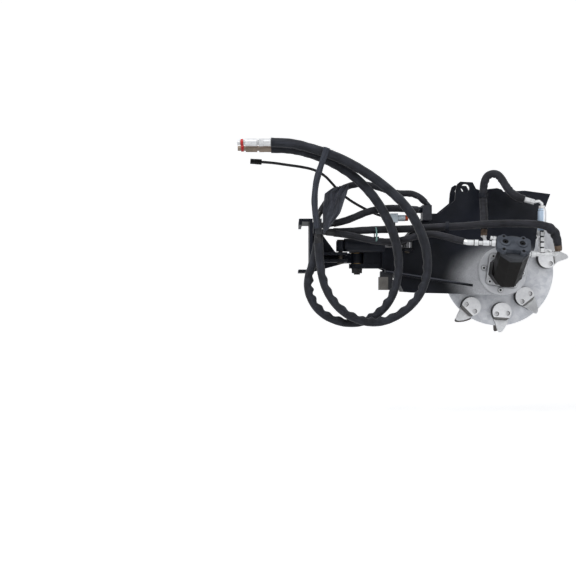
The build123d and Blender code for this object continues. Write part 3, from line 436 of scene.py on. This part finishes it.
def sprayed_paint(name, dust=.5, wear=.7):
    """Near-black paint over primed steel; returns its colour socket too, for what lies over it."""
    material, tree, sockets = surface(name, Specular_IOR_Level=.2)
    place = add(tree, "TexCoord").outputs["Object"]
    drift = spread(tree, grain(tree, place, 4.5, 4), .35, .68)
    film = use(tree, dusty, Amount=dust)["Mask"]
    worn = use(tree, rubbed, Width=.0022, Amount=wear)["Mask"]
    colour = mixed(tree, drift, PAINT_DEEP, PAINT_BLUE)
    colour = mixed(tree, film, colour, DUST)
    colour = mixed(tree, worn, colour, PRIMER)
    fill(tree, sockets["Base Color"], colour)
    fill(tree, sockets["Roughness"], spread(tree, maths(tree, "ADD", film, drift), 0, 1.3, .30, .62))
    peel = grain(tree, place, 330, 2)
    swell = grain(tree, place, 22, 2)
    raised(tree, sockets, maths(tree, "ADD", maths(tree, "MULTIPLY", peel, .25), swell), .0007, .5, .0016)
    return material, tree, sockets


def coat(material, *names):
    """Gives CAD nodes a finished material."""
    for name in names:
        for slot in nodes[name].material_slots:
            slot.material = material


boom_paint = sprayed_paint("boom_paint")[0]
coat(boom_paint, "hitch_plate", "base_plates", "base_webs", "pivot_knuckle", "manifold_bracket",
     "clevis_plates", "boom_end_plate", "boom_side_far", "boom_top_plate", "boom_bottom_plate",
     "guard_roof", "rod_lugs", "hose_clamps")

# The near side plate was masked badly when the motor's ring was sprayed silver: the overspray lies
# round the ring and fades out over the boom.
near_paint, tree, sockets = sprayed_paint("near_plate_paint")
place = add(tree, "TexCoord").outputs["Object"]
SPRAY_CENTRE = (WHEEL_X, -BOOM_HALF_W, -.130)
from_ring = add(tree, "VectorMath", {0: place, 1: SPRAY_CENTRE}, operation="SUBTRACT").outputs[0]
flattened = add(tree, "VectorMath", {0: from_ring, 1: (1, 0, 1.5)}, operation="MULTIPLY").outputs[0]
distance = add(tree, "VectorMath", {0: flattened}, operation="LENGTH").outputs["Value"]
ragged = maths(tree, "MULTIPLY", grain(tree, place, 9, 5), .060)
spray = spread(tree, maths(tree, "ADD", distance, ragged), .285, .180)
spray = maths(tree, "POWER", spray, 1.8)
speckle = spread(tree, grain(tree, place, 420, 2), .35, .65, .72, 1)
spray = maths(tree, "MULTIPLY", spray, speckle)
silver = mixed(tree, grain(tree, place, 14, 4), (.50, .51, .54, 1), (.74, .75, .78, 1))
painted = sockets["Base Color"].links[0].from_socket
fill(tree, sockets["Base Color"], mixed(tree, spray, painted, silver))
fill(tree, sockets["Metallic"], maths(tree, "MULTIPLY", spray, .25))
coat(near_paint, "boom_side_near")

# The ledges caught some of the spray from above, and boots have rubbed their upper faces and edges.
ledge_paint, tree, sockets = sprayed_paint("ledge_paint", dust=.8, wear=1.0)
x, y, z = parts_of_place(tree)
normal = add(tree, "SeparateXYZ", {0: add(tree, "NewGeometry").outputs["Normal"]}).outputs
upper = past(tree, normal[2], .5)
sprayed = both(tree, both(tree, upper, spread(tree, x, .52, .64)), past(tree, y, 0, -.001))
over(tree, sockets, sprayed, (.50, .51, .54), .2)
# Painted highlight: a lighter band along the top of the front faces, for the lit top edge.
front_edge = both(tree, past(tree, normal[1], -.8, -.05), spread(tree, x, .66, .60))
level = maths(tree, "ADD", z, maths(tree, "MULTIPLY", x, LEDGE_FALL))
HIGHLIGHT_BAND = .0042
highlight_band = past(tree, level, LEDGE_Z + LEDGE_START * LEDGE_FALL - HIGHLIGHT_BAND, .0008)
over(tree, sockets, both(tree, front_edge, highlight_band), (.085, .090, .108), .1)
coat(ledge_paint, "boom_ledges")


# ---- Weld beads -------------------------------------------------------------------------------
# Overlapping ripples in the corners where the ledges meet the side plates, and a ring of them round the
# motor's mounting ring, painted over like the steel beside them.
def weld(name, start, end, size, material):
    """A run of weld ripples between two points on the boom."""
    start, run = Vector(start), Vector(end) - Vector(start)
    bpy.ops.mesh.primitive_ico_sphere_add(subdivisions=2, radius=1, location=start)
    bead = bpy.context.object
    bead.name = name
    bead.scale = (size * .8, size, size * .9)
    bead.rotation_euler = run.to_track_quat("X", "Z").to_euler()
    bpy.ops.object.transform_apply(location=True, rotation=True, scale=True)
    bpy.ops.object.modifier_add(type="ARRAY")
    array = bead.modifiers[-1]
    array.count = max(2, round(run.length / (size * .95)))
    array.use_relative_offset = False
    array.use_constant_offset = True
    array.constant_offset_displace = run / (array.count - 1)
    bpy.ops.object.modifier_apply(modifier=array.name)
    bpy.ops.object.shade_smooth()
    bead.data.materials.append(material)
    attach(bead, "boom")


WELD_SIZE = .0036
WELD_PROUD = .001
RING_WELD_R = .0030
WELD_LIFT = .0005

bpy.ops.object.select_all(action="DESELECT")
for side, paint, hand in ((-1, near_paint, "_near"), (1, boom_paint, "_far")):
    for label, drop in (("over", WELD_LIFT), ("under", -LEDGE_T - WELD_LIFT)):
        ends = []
        for x in (LEDGE_START + .006, LEDGE_END - .005):
            ledge_top = LEDGE_Z - (x - LEDGE_START) * LEDGE_FALL
            ends.append((x, side * (BOOM_HALF_W + WELD_PROUD), ledge_top + drop))
        weld("ledge_weld_" + label + hand, ends[0], ends[1], WELD_SIZE, paint)
ring_place = (WHEEL_X, -BOOM_HALF_W - .0015, WHEEL_Z)
bpy.ops.mesh.primitive_torus_add(location=ring_place, rotation=(pi / 2, 0, 0), major_segments=300,
                                 minor_segments=8, major_radius=MOUNT_RING_R + .0012,
                                 minor_radius=RING_WELD_R)
ring_weld = bpy.context.object
ring_weld.name = "mount_ring_weld"
bpy.ops.object.transform_apply(location=True, rotation=True, scale=True)
for vertex in ring_weld.data.vertices:
    angle = atan2(vertex.co.z - WHEEL_Z, vertex.co.x - WHEEL_X)
    vertex.co.y -= .0009 * (.5 + .5 * sin(100 * angle + 2 * noise.noise(vertex.co * 40)))
bpy.ops.object.shade_smooth()
ring_weld.data.materials.append(near_paint)
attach(ring_weld, "boom")


# ---- Bare and galvanised steel ----------------------------------------------------------------
# Cutter disc, its cast tooth holders, the motor's mounting ring, stand foot, guard cheek, junction
# block and shaft: steel with a mottled zinc skin or a bare, weathered face.
def steel(name, dark, light, mottle, metallic, rough, wear=.4, rust=0.0, flake=.3, reach=.006):
    """Bare or galvanised steel in two tones with patches of the size given and rubbed bright edges."""
    material, tree, sockets = surface(name, Metallic=metallic, Specular_IOR_Level=.5)
    place = add(tree, "TexCoord").outputs["Object"]
    cells = add(tree, "TexVoronoi", {"Vector": place, "Scale": mottle, "Randomness": 1.0}).outputs["Color"]
    flakes = add(tree, "SeparateColor", {0: cells}).outputs[0]
    patches = grain(tree, place, mottle * .35, 6, .6)
    tone = spread(tree, maths(tree, "ADD", maths(tree, "MULTIPLY", flakes, flake), patches), .35, .95)
    colour = mixed(tree, tone, (*dark, 1), (*light, 1))
    stained = spread(tree, grain(tree, place, 16, 7, .7), .56, .74, 0, rust)
    colour = mixed(tree, stained, colour, (.16, .10, .065, 1))
    worn = use(tree, rubbed, Width=.0018, Amount=wear)["Mask"]
    colour = mixed(tree, worn, colour, (.85, .86, .88, 1))
    # Painted shade in hollows and at joints, from the occlusion mask.
    painted_shade = use(tree, hollow_shading, Reach=reach, Amount=.9)["Mask"]
    colour = mixed(tree, painted_shade, colour, (.012, .012, .014, 1))
    fill(tree, sockets["Base Color"], colour)
    fill(tree, sockets["Roughness"], spread(tree, patches, .3, .7, rough - .08, rough + .12))
    fine = grain(tree, place, 480, 3)
    raised(tree, sockets, maths(tree, "ADD", fine, maths(tree, "MULTIPLY", patches, 2)), .0005, .5, .0014)
    return material


disc_steel = steel("disc_galvanised", (.60, .62, .67), (.88, .89, .92), 75, .24, .44, flake=.26)
holder_steel = steel("holder_cast_steel", (.78, .79, .81), (.99, .99, 1.0), 110, .20, .46, flake=.12)
ring_steel = steel("ring_sprayed_steel", (.60, .61, .64), (.78, .79, .82), 60, .28, .42,
                   flake=.1, reach=.012)
claw_steel = steel("claw_steel", (.70, .71, .73), (.96, .97, .98), 80, .25, .42, flake=.2)
foot_steel = steel("foot_warm_steel", (.10, .094, .088), (.24, .225, .21), 40, .3, .5, rust=.3)
block_steel = steel("block_dull_steel", (.022, .024, .028), (.07, .072, .08), 50, .6, .45, rust=.3)


def opened(material):
    """A finished material's nodes and its shader's inputs."""
    tree = material.node_tree
    return tree, next(n for n in tree.nodes if n.type == "BSDF_PRINCIPLED").inputs


# The foot's bracket and its front are painted; the round holders' side walls get painted shade.
tree, sockets = opened(foot_steel)
x, y, z = parts_of_place(tree)
bracket = maths(tree, "MAXIMUM", past(tree, z, -.1285), past(tree, x, .3225))
over(tree, sockets, bracket, (.008, .009, .013), 0)
tree, sockets = opened(holder_steel)
normal = add(tree, "SeparateXYZ", {0: add(tree, "NewGeometry").outputs["Normal"]}).outputs
turned = maths(tree, "ABSOLUTE", normal[1])
# Painted shade: grey where faces turn away from the disc's faces, near black on the side walls.
over(tree, sockets, past(tree, turned, .70, -.1), (.17, .165, .16), .2)
over(tree, sockets, past(tree, turned, .22, -.04), (.012, .012, .013), .1)
coat(disc_steel, "cutter_disc")
coat(holder_steel, "tooth_holders")
tree, sockets = opened(claw_steel)
# Painted shade: the claws on the far side of the disc are darker.
over(tree, sockets, past(tree, parts_of_place(tree)[1], .010), (.10, .09, .085), .3)
coat(claw_steel, "teeth")
coat(ring_steel, "motor_mount_ring", "guard_cheek")
coat(foot_steel, "stand_foot")
coat(block_steel, "hose_manifold", "drive_shaft", "shaft_bearings", "bearing_housing")


# ---- Zinc-plated fittings ---------------------------------------------------------------------
# Crimped hose ends, adapters, nuts, couplers, pins and screws: turned steel with bright zinc plating,
# whiter where it is new and cloudy where it was handled.
def zinc(name, tint, rough=.28, dull=.25, shade_amount=.92):
    """Bright plating with a faint cloud, turning marks and painted shade in its hollows."""
    material, tree, sockets = surface(name, Metallic=.45, Specular_IOR_Level=.6)
    place = add(tree, "TexCoord").outputs["Object"]
    cloud = spread(tree, grain(tree, place, 60, 5, .6), .35, .7)
    handled = (tint[0] * (1 - dull), tint[1] * (1 - dull), tint[2] * (1 - dull), 1)
    colour = mixed(tree, cloud, (*tint, 1), handled)
    worn = use(tree, rubbed, Width=.0010, Amount=.5)["Mask"]
    colour = mixed(tree, worn, colour, (.98, .98, .99, 1))
    # Painted shade in hollows and at joints, from the occlusion mask.
    painted_shade = use(tree, hollow_shading, Reach=.005, Amount=shade_amount)["Mask"]
    colour = mixed(tree, painted_shade, colour, (.018, .016, .015, 1))
    fill(tree, sockets["Base Color"], colour)
    fill(tree, sockets["Roughness"], spread(tree, cloud, 0, 1, rough, rough + .15))
    raised(tree, sockets, grain(tree, place, 700, 2), .0002, .4, .0009)
    return material, tree, sockets


BROWN_CRIMP = (.15, .105, .075)
bright_zinc = zinc("bright_zinc", (.93, .94, .95))[0]
greasy_pin = zinc("greasy_pin", (.11, .09, .07), rough=.4, dull=.5)[0]
dark_zinc = zinc("handled_zinc", (.035, .035, .038), rough=.4, dull=.5)[0]
coat(bright_zinc, "drain_elbow", "coupler_collar_a")
coat(zinc("screw_steel", (.97, .97, .98), dull=.1, shade_amount=.2)[0], "holder_screws")
coat(greasy_pin, "cylinder_base_pin", "rod_pin")
coat(dark_zinc, "manifold_fittings", "swing_pin", "swing_pin_nut")
crimps, tree, sockets = zinc("bulkhead_painted", (.10, .095, .09), dull=.4)
over(tree, sockets, past(tree, parts_of_place(tree)[1], -.1245), PAINT_BLUE[:3], 0)
coat(crimps, "hose_bulkhead")

# The crimps over the motor's two ports have browned; the necks between the nuts get painted shade.
left_zinc, tree, sockets = zinc("left_fitting_zinc", (.93, .94, .95))
over(tree, sockets, past(tree, parts_of_place(tree)[2], .037), BROWN_CRIMP, .5)
coat(left_zinc, "left_port_fitting")
right_zinc, tree, sockets = zinc("right_fitting_zinc", (.94, .95, .96))
x, y, z = parts_of_place(tree)
in_crimp = both(tree, past(tree, x, .968), past(tree, z, -.028))
over(tree, sockets, in_crimp, BROWN_CRIMP, .5)
# Painted shade in the necks between the right fitting's nuts.
aside = maths(tree, "ABSOLUTE", maths(tree, "SUBTRACT", x, .934))
shaded_neck = both(tree, past(tree, aside, .0092, -.0006), past(tree, z, -.028))
over(tree, sockets, both(tree, shaded_neck, past(tree, y, -.1876)), (.02, .02, .022))
coat(right_zinc, "right_port_fitting")

# Couplers: one clean, one brown with handling, each with a red dust ring behind its nose.
coupler_zinc, tree, sockets = zinc("coupler_zinc", (.90, .91, .92))
x, y, z = parts_of_place(tree)
over(tree, sockets, past(tree, y, -.222), (.30, .235, .185))
ring = both(tree, past(tree, x, -.2765), past(tree, x, -.2655, -.0006))
over(tree, sockets, ring, (.50, .012, .010), 0)
coat(coupler_zinc, "coupler_bodies")
coat(zinc("collar_browned", (.33, .26, .20), dull=.4)[0], "coupler_collar_b")

# Check valve in pale blue passivation with a painted highlight on one side, and the solenoid with its red
# cap.
blue_zinc, tree, sockets = zinc("blue_zinc", (.62, .76, .93), dull=.12)
over(tree, sockets, past(tree, parts_of_place(tree)[0], .936, .003), (.95, .96, .98))
coat(blue_zinc, "check_valve")
coil, tree, sockets = zinc("coil_zinc", (.80, .90, .98), dull=.1)
x, y, z = parts_of_place(tree)
over(tree, sockets, past(tree, x, .392), (.62, .085, .022), 0)
over(tree, sockets, past(tree, z, .0955, -.0006), PAINT_BLUE[:3], 0)
coat(coil, "solenoid_valve")

# Screws: silver where they were sprayed with the ring, black on the port cover. The floors of
# their sockets, at one depth on the ring and another on the flange, are painted dark as shade.
screw_zinc, tree, sockets = zinc("screw_zinc", (.88, .89, .91))
y = parts_of_place(tree)[1]
SHADED_SOCKET_FLOORS = (-.083, -.097)
over(tree, sockets, past(tree, y, -.19, -.0006), (.010, .010, .012), 0)
for floor in SHADED_SOCKET_FLOORS:
    beside = maths(tree, "ABSOLUTE", maths(tree, "SUBTRACT", y, floor))
    over(tree, sockets, past(tree, beside, .0012, -.0004), (.004, .004, .005), 0)
coat(screw_zinc, "motor_bolts")

# ---- Hydraulic motor --------------------------------------------------------------------------
# Bent-axis piston motor: black cast housings, a grey-blue port cover with two sealed bosses, and
# black oxide plugs and screws.
def cast_iron(name, dark, light, rough, speck=.3):
    """Painted casting with a sandy skin."""
    material, tree, sockets = surface(name, Specular_IOR_Level=.16)
    place = add(tree, "TexCoord").outputs["Object"]
    tone = spread(tree, grain(tree, place, 26, 5), .34, .68)
    film = use(tree, dusty, Amount=speck)["Mask"]
    worn = use(tree, rubbed, Width=.0016, Amount=.5)["Mask"]
    colour = mixed(tree, film, mixed(tree, tone, (*dark, 1), (*light, 1)), DUST)
    fill(tree, sockets["Base Color"], mixed(tree, worn, colour, (.16, .165, .18, 1)))
    fill(tree, sockets["Roughness"], spread(tree, tone, 0, 1, rough, rough + .2))
    raised(tree, sockets, grain(tree, place, 300, 4, .7), .0008, .7, .0018)
    return material, tree, sockets


cover_grey = cast_iron("cover_grey_casting", (.048, .055, .070), (.090, .100, .120), .42, .4)[0]
black_oxide = cast_iron("black_oxide", (.004, .004, .0045), (.011, .011, .012), .3, .2)[0]
coat(cover_grey, "motor_rear_cover")
coat(black_oxide, "port_plugs", "cable_plug")
front, tree, sockets = cast_iron("front_casting", (.0030, .0026, .0026), (.0085, .0074, .0072), .34, .1)
flange = past(tree, parts_of_place(tree)[1], -.0952)
over(tree, sockets, flange, (.68, .69, .71), .25)
coat(front, "motor_front_housing")
barrel, tree, sockets = cast_iron("barrel_casting", (.0030, .0024, .0023), (.0088, .0074, .0070), .34, .1)
x, y, z = parts_of_place(tree)
rise = maths(tree, "MULTIPLY", z, sin(MOTOR_BEND))
along = maths(tree, "SUBTRACT", rise, maths(tree, "MULTIPLY", y, cos(MOTOR_BEND)))
RIM_ALONG = .178
over(tree, sockets, past(tree, along, RIM_ALONG), (.060, .064, .072), 0)
coat(barrel, "motor_barrel_housing")

# ---- Swing cylinder and pivot -----------------------------------------------------------------
# The swing cylinder's painted tube and gland, its chromed rod, and the pivot's bronze bushes.
coat(boom_paint, "cylinder_barrel", "cylinder_gland")
chrome, tree, sockets = surface("chromed_rod", Metallic=1.0)
place = add(tree, "TexCoord").outputs["Object"]
scored = add(tree, "Mapping", {"Vector": place, "Scale": (4, 60, 60)}).outputs[0]
marks = grain(tree, scored, 12, 4)
# Painted reflection: the chrome is kept dark for the dark surroundings it mirrors.
fill(tree, sockets["Base Color"], mixed(tree, marks, (.16, .16, .17, 1), (.30, .30, .31, 1)))
fill(tree, sockets["Roughness"], spread(tree, marks, .3, .7, .16, .30))
coat(chrome, "cylinder_rod")
bronze, tree, sockets = surface("bush_bronze", Metallic=1.0)
marks = grain(tree, add(tree, "TexCoord").outputs["Object"], 90, 4)
fill(tree, sockets["Base Color"], mixed(tree, marks, (.38, .24, .10, 1), (.60, .42, .20, 1)))
fill(tree, sockets["Roughness"], spread(tree, marks, .3, .7, .25, .5))
coat(bronze, "pivot_bushes")


# ---- Strap and loose sleeve -------------------------------------------------------------------
# A woven strap hangs from the two supply hoses down past the junction block. Beside it the torn end of
# a protective sleeve leans back, gathered at its foot and fanned out in folds to a ragged edge.
def cloth_sheet(name, across, along, place, thickness):
    """A sheet of even squares: place(u, v), each from 0 to 1, gives every point. UVs are in metres."""
    bpy.ops.mesh.primitive_grid_add(x_subdivisions=across, y_subdivisions=along, size=1)
    made = bpy.context.object
    made.name = name
    uv_layer = made.data.uv_layers.active or made.data.uv_layers.new(name="cloth")
    for loop in made.data.loops:
        flat = made.data.vertices[loop.vertex_index].co
        uv_layer.data[loop.index].uv = ((flat.x + .5) * .2, (flat.y + .5) * .3)
    for vertex in made.data.vertices:
        vertex.co = place(vertex.co.x + .5, vertex.co.y + .5)
    bpy.ops.object.modifier_add(type="SOLIDIFY")
    made.modifiers[-1].thickness = thickness
    made.modifiers[-1].offset = 0
    bpy.ops.object.modifier_apply(modifier=made.modifiers[-1].name)
    bpy.ops.object.shade_smooth()
    return made


bpy.ops.object.select_all(action="DESELECT")
STRAP = [
    (.064, -.266, .378), (.056, -.266, .352), (.044, -.266, .318), (.022, -.266, .250),
    (.014, -.266, .180), (.018, -.266, .110), (.026, -.266, .060),
]
strap_line = stations(smooth_line("hose_strap", STRAP), .006)


def strap_place(u, v):
    """A point of the strap: slightly cupped, rolled over in waves and creased where it was folded."""
    spot = v * (len(strap_line) - 1)
    k = min(int(spot), len(strap_line) - 2)
    p = strap_line[k][0].lerp(strap_line[k + 1][0], spot - k)
    direction = strap_line[k][1]
    sideways = Vector((-direction.z, 0, direction.x)).normalized()
    pinch = 1 - .16 * max(0, noise.noise(Vector((v * 6, 2, 0)))) - .10 * sin(9 * v) ** 2
    lift = .0016 * cos(2 * pi * (u - .5)) + .0024 * noise.noise(Vector((u * 1.5, v * 9, 5)))
    return p + sideways * (u - .5) * .026 * pinch + Vector((0, -lift, 0))


webbing = sleeve_cloth("strap_webbing", (.016, .019, .028), (.046, .053, .074), sheen=.35)
strap = cloth_sheet("supply_hose_strap", 8, 90, strap_place, .0016)
strap.data.materials.append(webbing)
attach(strap, "hitch_frame")
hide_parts("hose_strap")


def sleeve_place(u, v):
    """A point of the loose sleeve: a narrow gathered foot opening into a leaning, folded fan."""
    left = (.049 + .012 * max(0, v - .45) / .55 + .030 * max(0, v - .88) / .12)
    right = .049 + .027 * min(1, v / .14) + .042 * min(1, max(0, v - .14) / .27)
    right += .028 * min(1, max(0, v - .41) / .37) + .014 * max(0, v - .78) / .22
    ragged = .006 * noise.noise(Vector((u * 9, 3, 1))) + .004 * sin(31 * u)
    top = .212 + .026 * u + ragged
    spread_out = min(1, .12 + v * 1.3)
    folds = .0045 * spread_out * sin(2 * pi * (3.3 * u + .5 * noise.noise(Vector((u * 2, v * 3, 0)))))
    crumple = .0035 * noise.noise(Vector((u * 5, v * 7, 4)))
    crumple += .0015 * noise.noise(Vector((u * 14, v * 16, 8)))
    x = left + (right - left) * u
    up = v * top
    out = .007 + folds + crumple
    return Vector((x, -.262 + up * .4472 - out * .8944, .033 + up * .8944 + out * .4472))


loose = cloth_sheet("loose_sleeve_end", 64, 84, sleeve_place, .0016)
loose.data.materials.append(sleeve_cloth("loose_sleeve_cloth", (.014, .016, .023), (.042, .047, .064), .3))
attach(loose, "hitch_frame")
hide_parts("textile_sleeve")

# ---- Cable ties -------------------------------------------------------------------------------
# A pale green tie pulled round the two motor hoses below the valve, with its cut tail.
def cable_tie(name, centre, wide, high, turn, colour):
    """A flat nylon strap in a ring, with its square lock and its cut tail."""
    bpy.ops.mesh.primitive_cylinder_add(vertices=40, radius=1, depth=.0048, end_fill_type="NOTHING")
    tie = bpy.context.object
    tie.name = name
    bpy.ops.object.mode_set(mode="EDIT")
    bpy.ops.mesh.select_all(action="SELECT")
    bpy.ops.transform.resize(value=(wide / 2, high / 2, 1))
    bpy.ops.object.mode_set(mode="OBJECT")
    bpy.ops.mesh.primitive_cube_add(size=.0075, location=(0, -high / 2 - .003, 0))
    lock = bpy.context.object
    bpy.ops.mesh.primitive_cube_add(size=1, location=(.012, -high / 2 - .006, 0))
    tail = bpy.context.object
    tail.scale = (.026, .0014, .0044)
    tail.rotation_euler = (0, 0, -.5)
    lock.select_set(True)
    tie.select_set(True)
    bpy.context.view_layer.objects.active = tie
    bpy.ops.object.join()
    tie.rotation_euler = turn
    tie.location = centre
    bpy.ops.object.transform_apply(location=True, rotation=True, scale=True)
    bpy.ops.object.modifier_add(type="SOLIDIFY")
    tie.modifiers[-1].thickness = .0012
    bpy.ops.object.modifier_apply(modifier=tie.modifiers[-1].name)
    nylon, tree, sockets = surface(name + "_nylon", Roughness=.42)
    cloud = grain(tree, add(tree, "TexCoord").outputs["Object"], 300, 3)
    shade = tuple(c * .7 for c in colour)
    fill(tree, sockets["Base Color"], mixed(tree, cloud, (*colour, 1), (*shade, 1)))
    raised(tree, sockets, cloud, .0002)
    tie.data.materials.append(nylon)
    return tie


bpy.ops.object.select_all(action="DESELECT")
tie = cable_tie("motor_hoses_tie", (.266, -.152, .040), .066, .090, (0, pi / 2, 0), (.16, .30, .28))
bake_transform(tie)

# ---- Light and floor --------------------------------------------------------------------------
# A pale studio bowl: flat floor under the lifted machine, walls curving up far behind everything, one
# large soft lamp high on the left in front and a weaker one on the right.
world = bpy.data.worlds.new("studio_air")
world.use_nodes = True
world.node_tree.nodes["Background"].inputs[0].default_value = (.95, .97, 1, 1)
world.node_tree.nodes["Background"].inputs[1].default_value = .55
bpy.context.scene.world = world
bpy.context.scene.view_settings.view_transform = "Standard"


def lamp(name, place, size, power, aim):
    """A square soft lamp that faces a point."""
    bpy.ops.object.light_add(type="AREA", location=place)
    made = bpy.context.object
    made.name = name
    made.data.size = size
    made.data.energy = power
    made.rotation_euler = (Vector(aim) - Vector(place)).to_track_quat("-Z", "Y").to_euler()


lamp("key_lamp", (-1.6, -2.2, 3.0), 1.5, 95, (.45, 0, 0))
lamp("fill_lamp", (2.8, -2.4, 1.0), 1.8, 18, (.5, 0, 0))

FLOOR_Z = -.745
FLOOR_R = 4.6
CURVE_R = 1.6
CURVE_STEPS = 8
WALL_H = 3.0
bpy.ops.mesh.primitive_circle_add(vertices=96, radius=FLOOR_R, fill_type="NGON",
                                  location=(.4, 0, FLOOR_Z))
bowl = bpy.context.object
bowl.name = "studio_bowl"
bpy.ops.object.mode_set(mode="EDIT")
bpy.ops.mesh.select_all(action="SELECT")
for step in range(1, CURVE_STEPS + 1):
    angle = pi / 2 * step / CURVE_STEPS
    before = pi / 2 * (step - 1) / CURVE_STEPS
    rise = CURVE_R * (cos(before) - cos(angle))
    widen = (FLOOR_R + CURVE_R * sin(angle)) / (FLOOR_R + CURVE_R * sin(before))
    bpy.ops.mesh.extrude_region_move(TRANSFORM_OT_translate={"value": (0, 0, rise)})
    bpy.ops.transform.resize(value=(widen, widen, 1))
bpy.ops.mesh.extrude_region_move(TRANSFORM_OT_translate={"value": (0, 0, WALL_H)})
bpy.ops.mesh.delete(type="ONLY_FACE")
bpy.ops.object.mode_set(mode="OBJECT")
bpy.ops.object.transform_apply(location=True, rotation=True, scale=True)
bpy.ops.object.shade_smooth()
pale, tree, sockets = surface("studio_white", Roughness=.9)
sockets["Base Color"].default_value = (.80, .80, .80, 1)
sockets["Emission Color"].default_value = (1, 1, 1, 1)
seen = add(tree, "LightPath").outputs["Is Camera Ray"]
fill(tree, sockets["Emission Strength"], maths(tree, "MULTIPLY", seen, .55))
bowl.data.materials.append(pale)
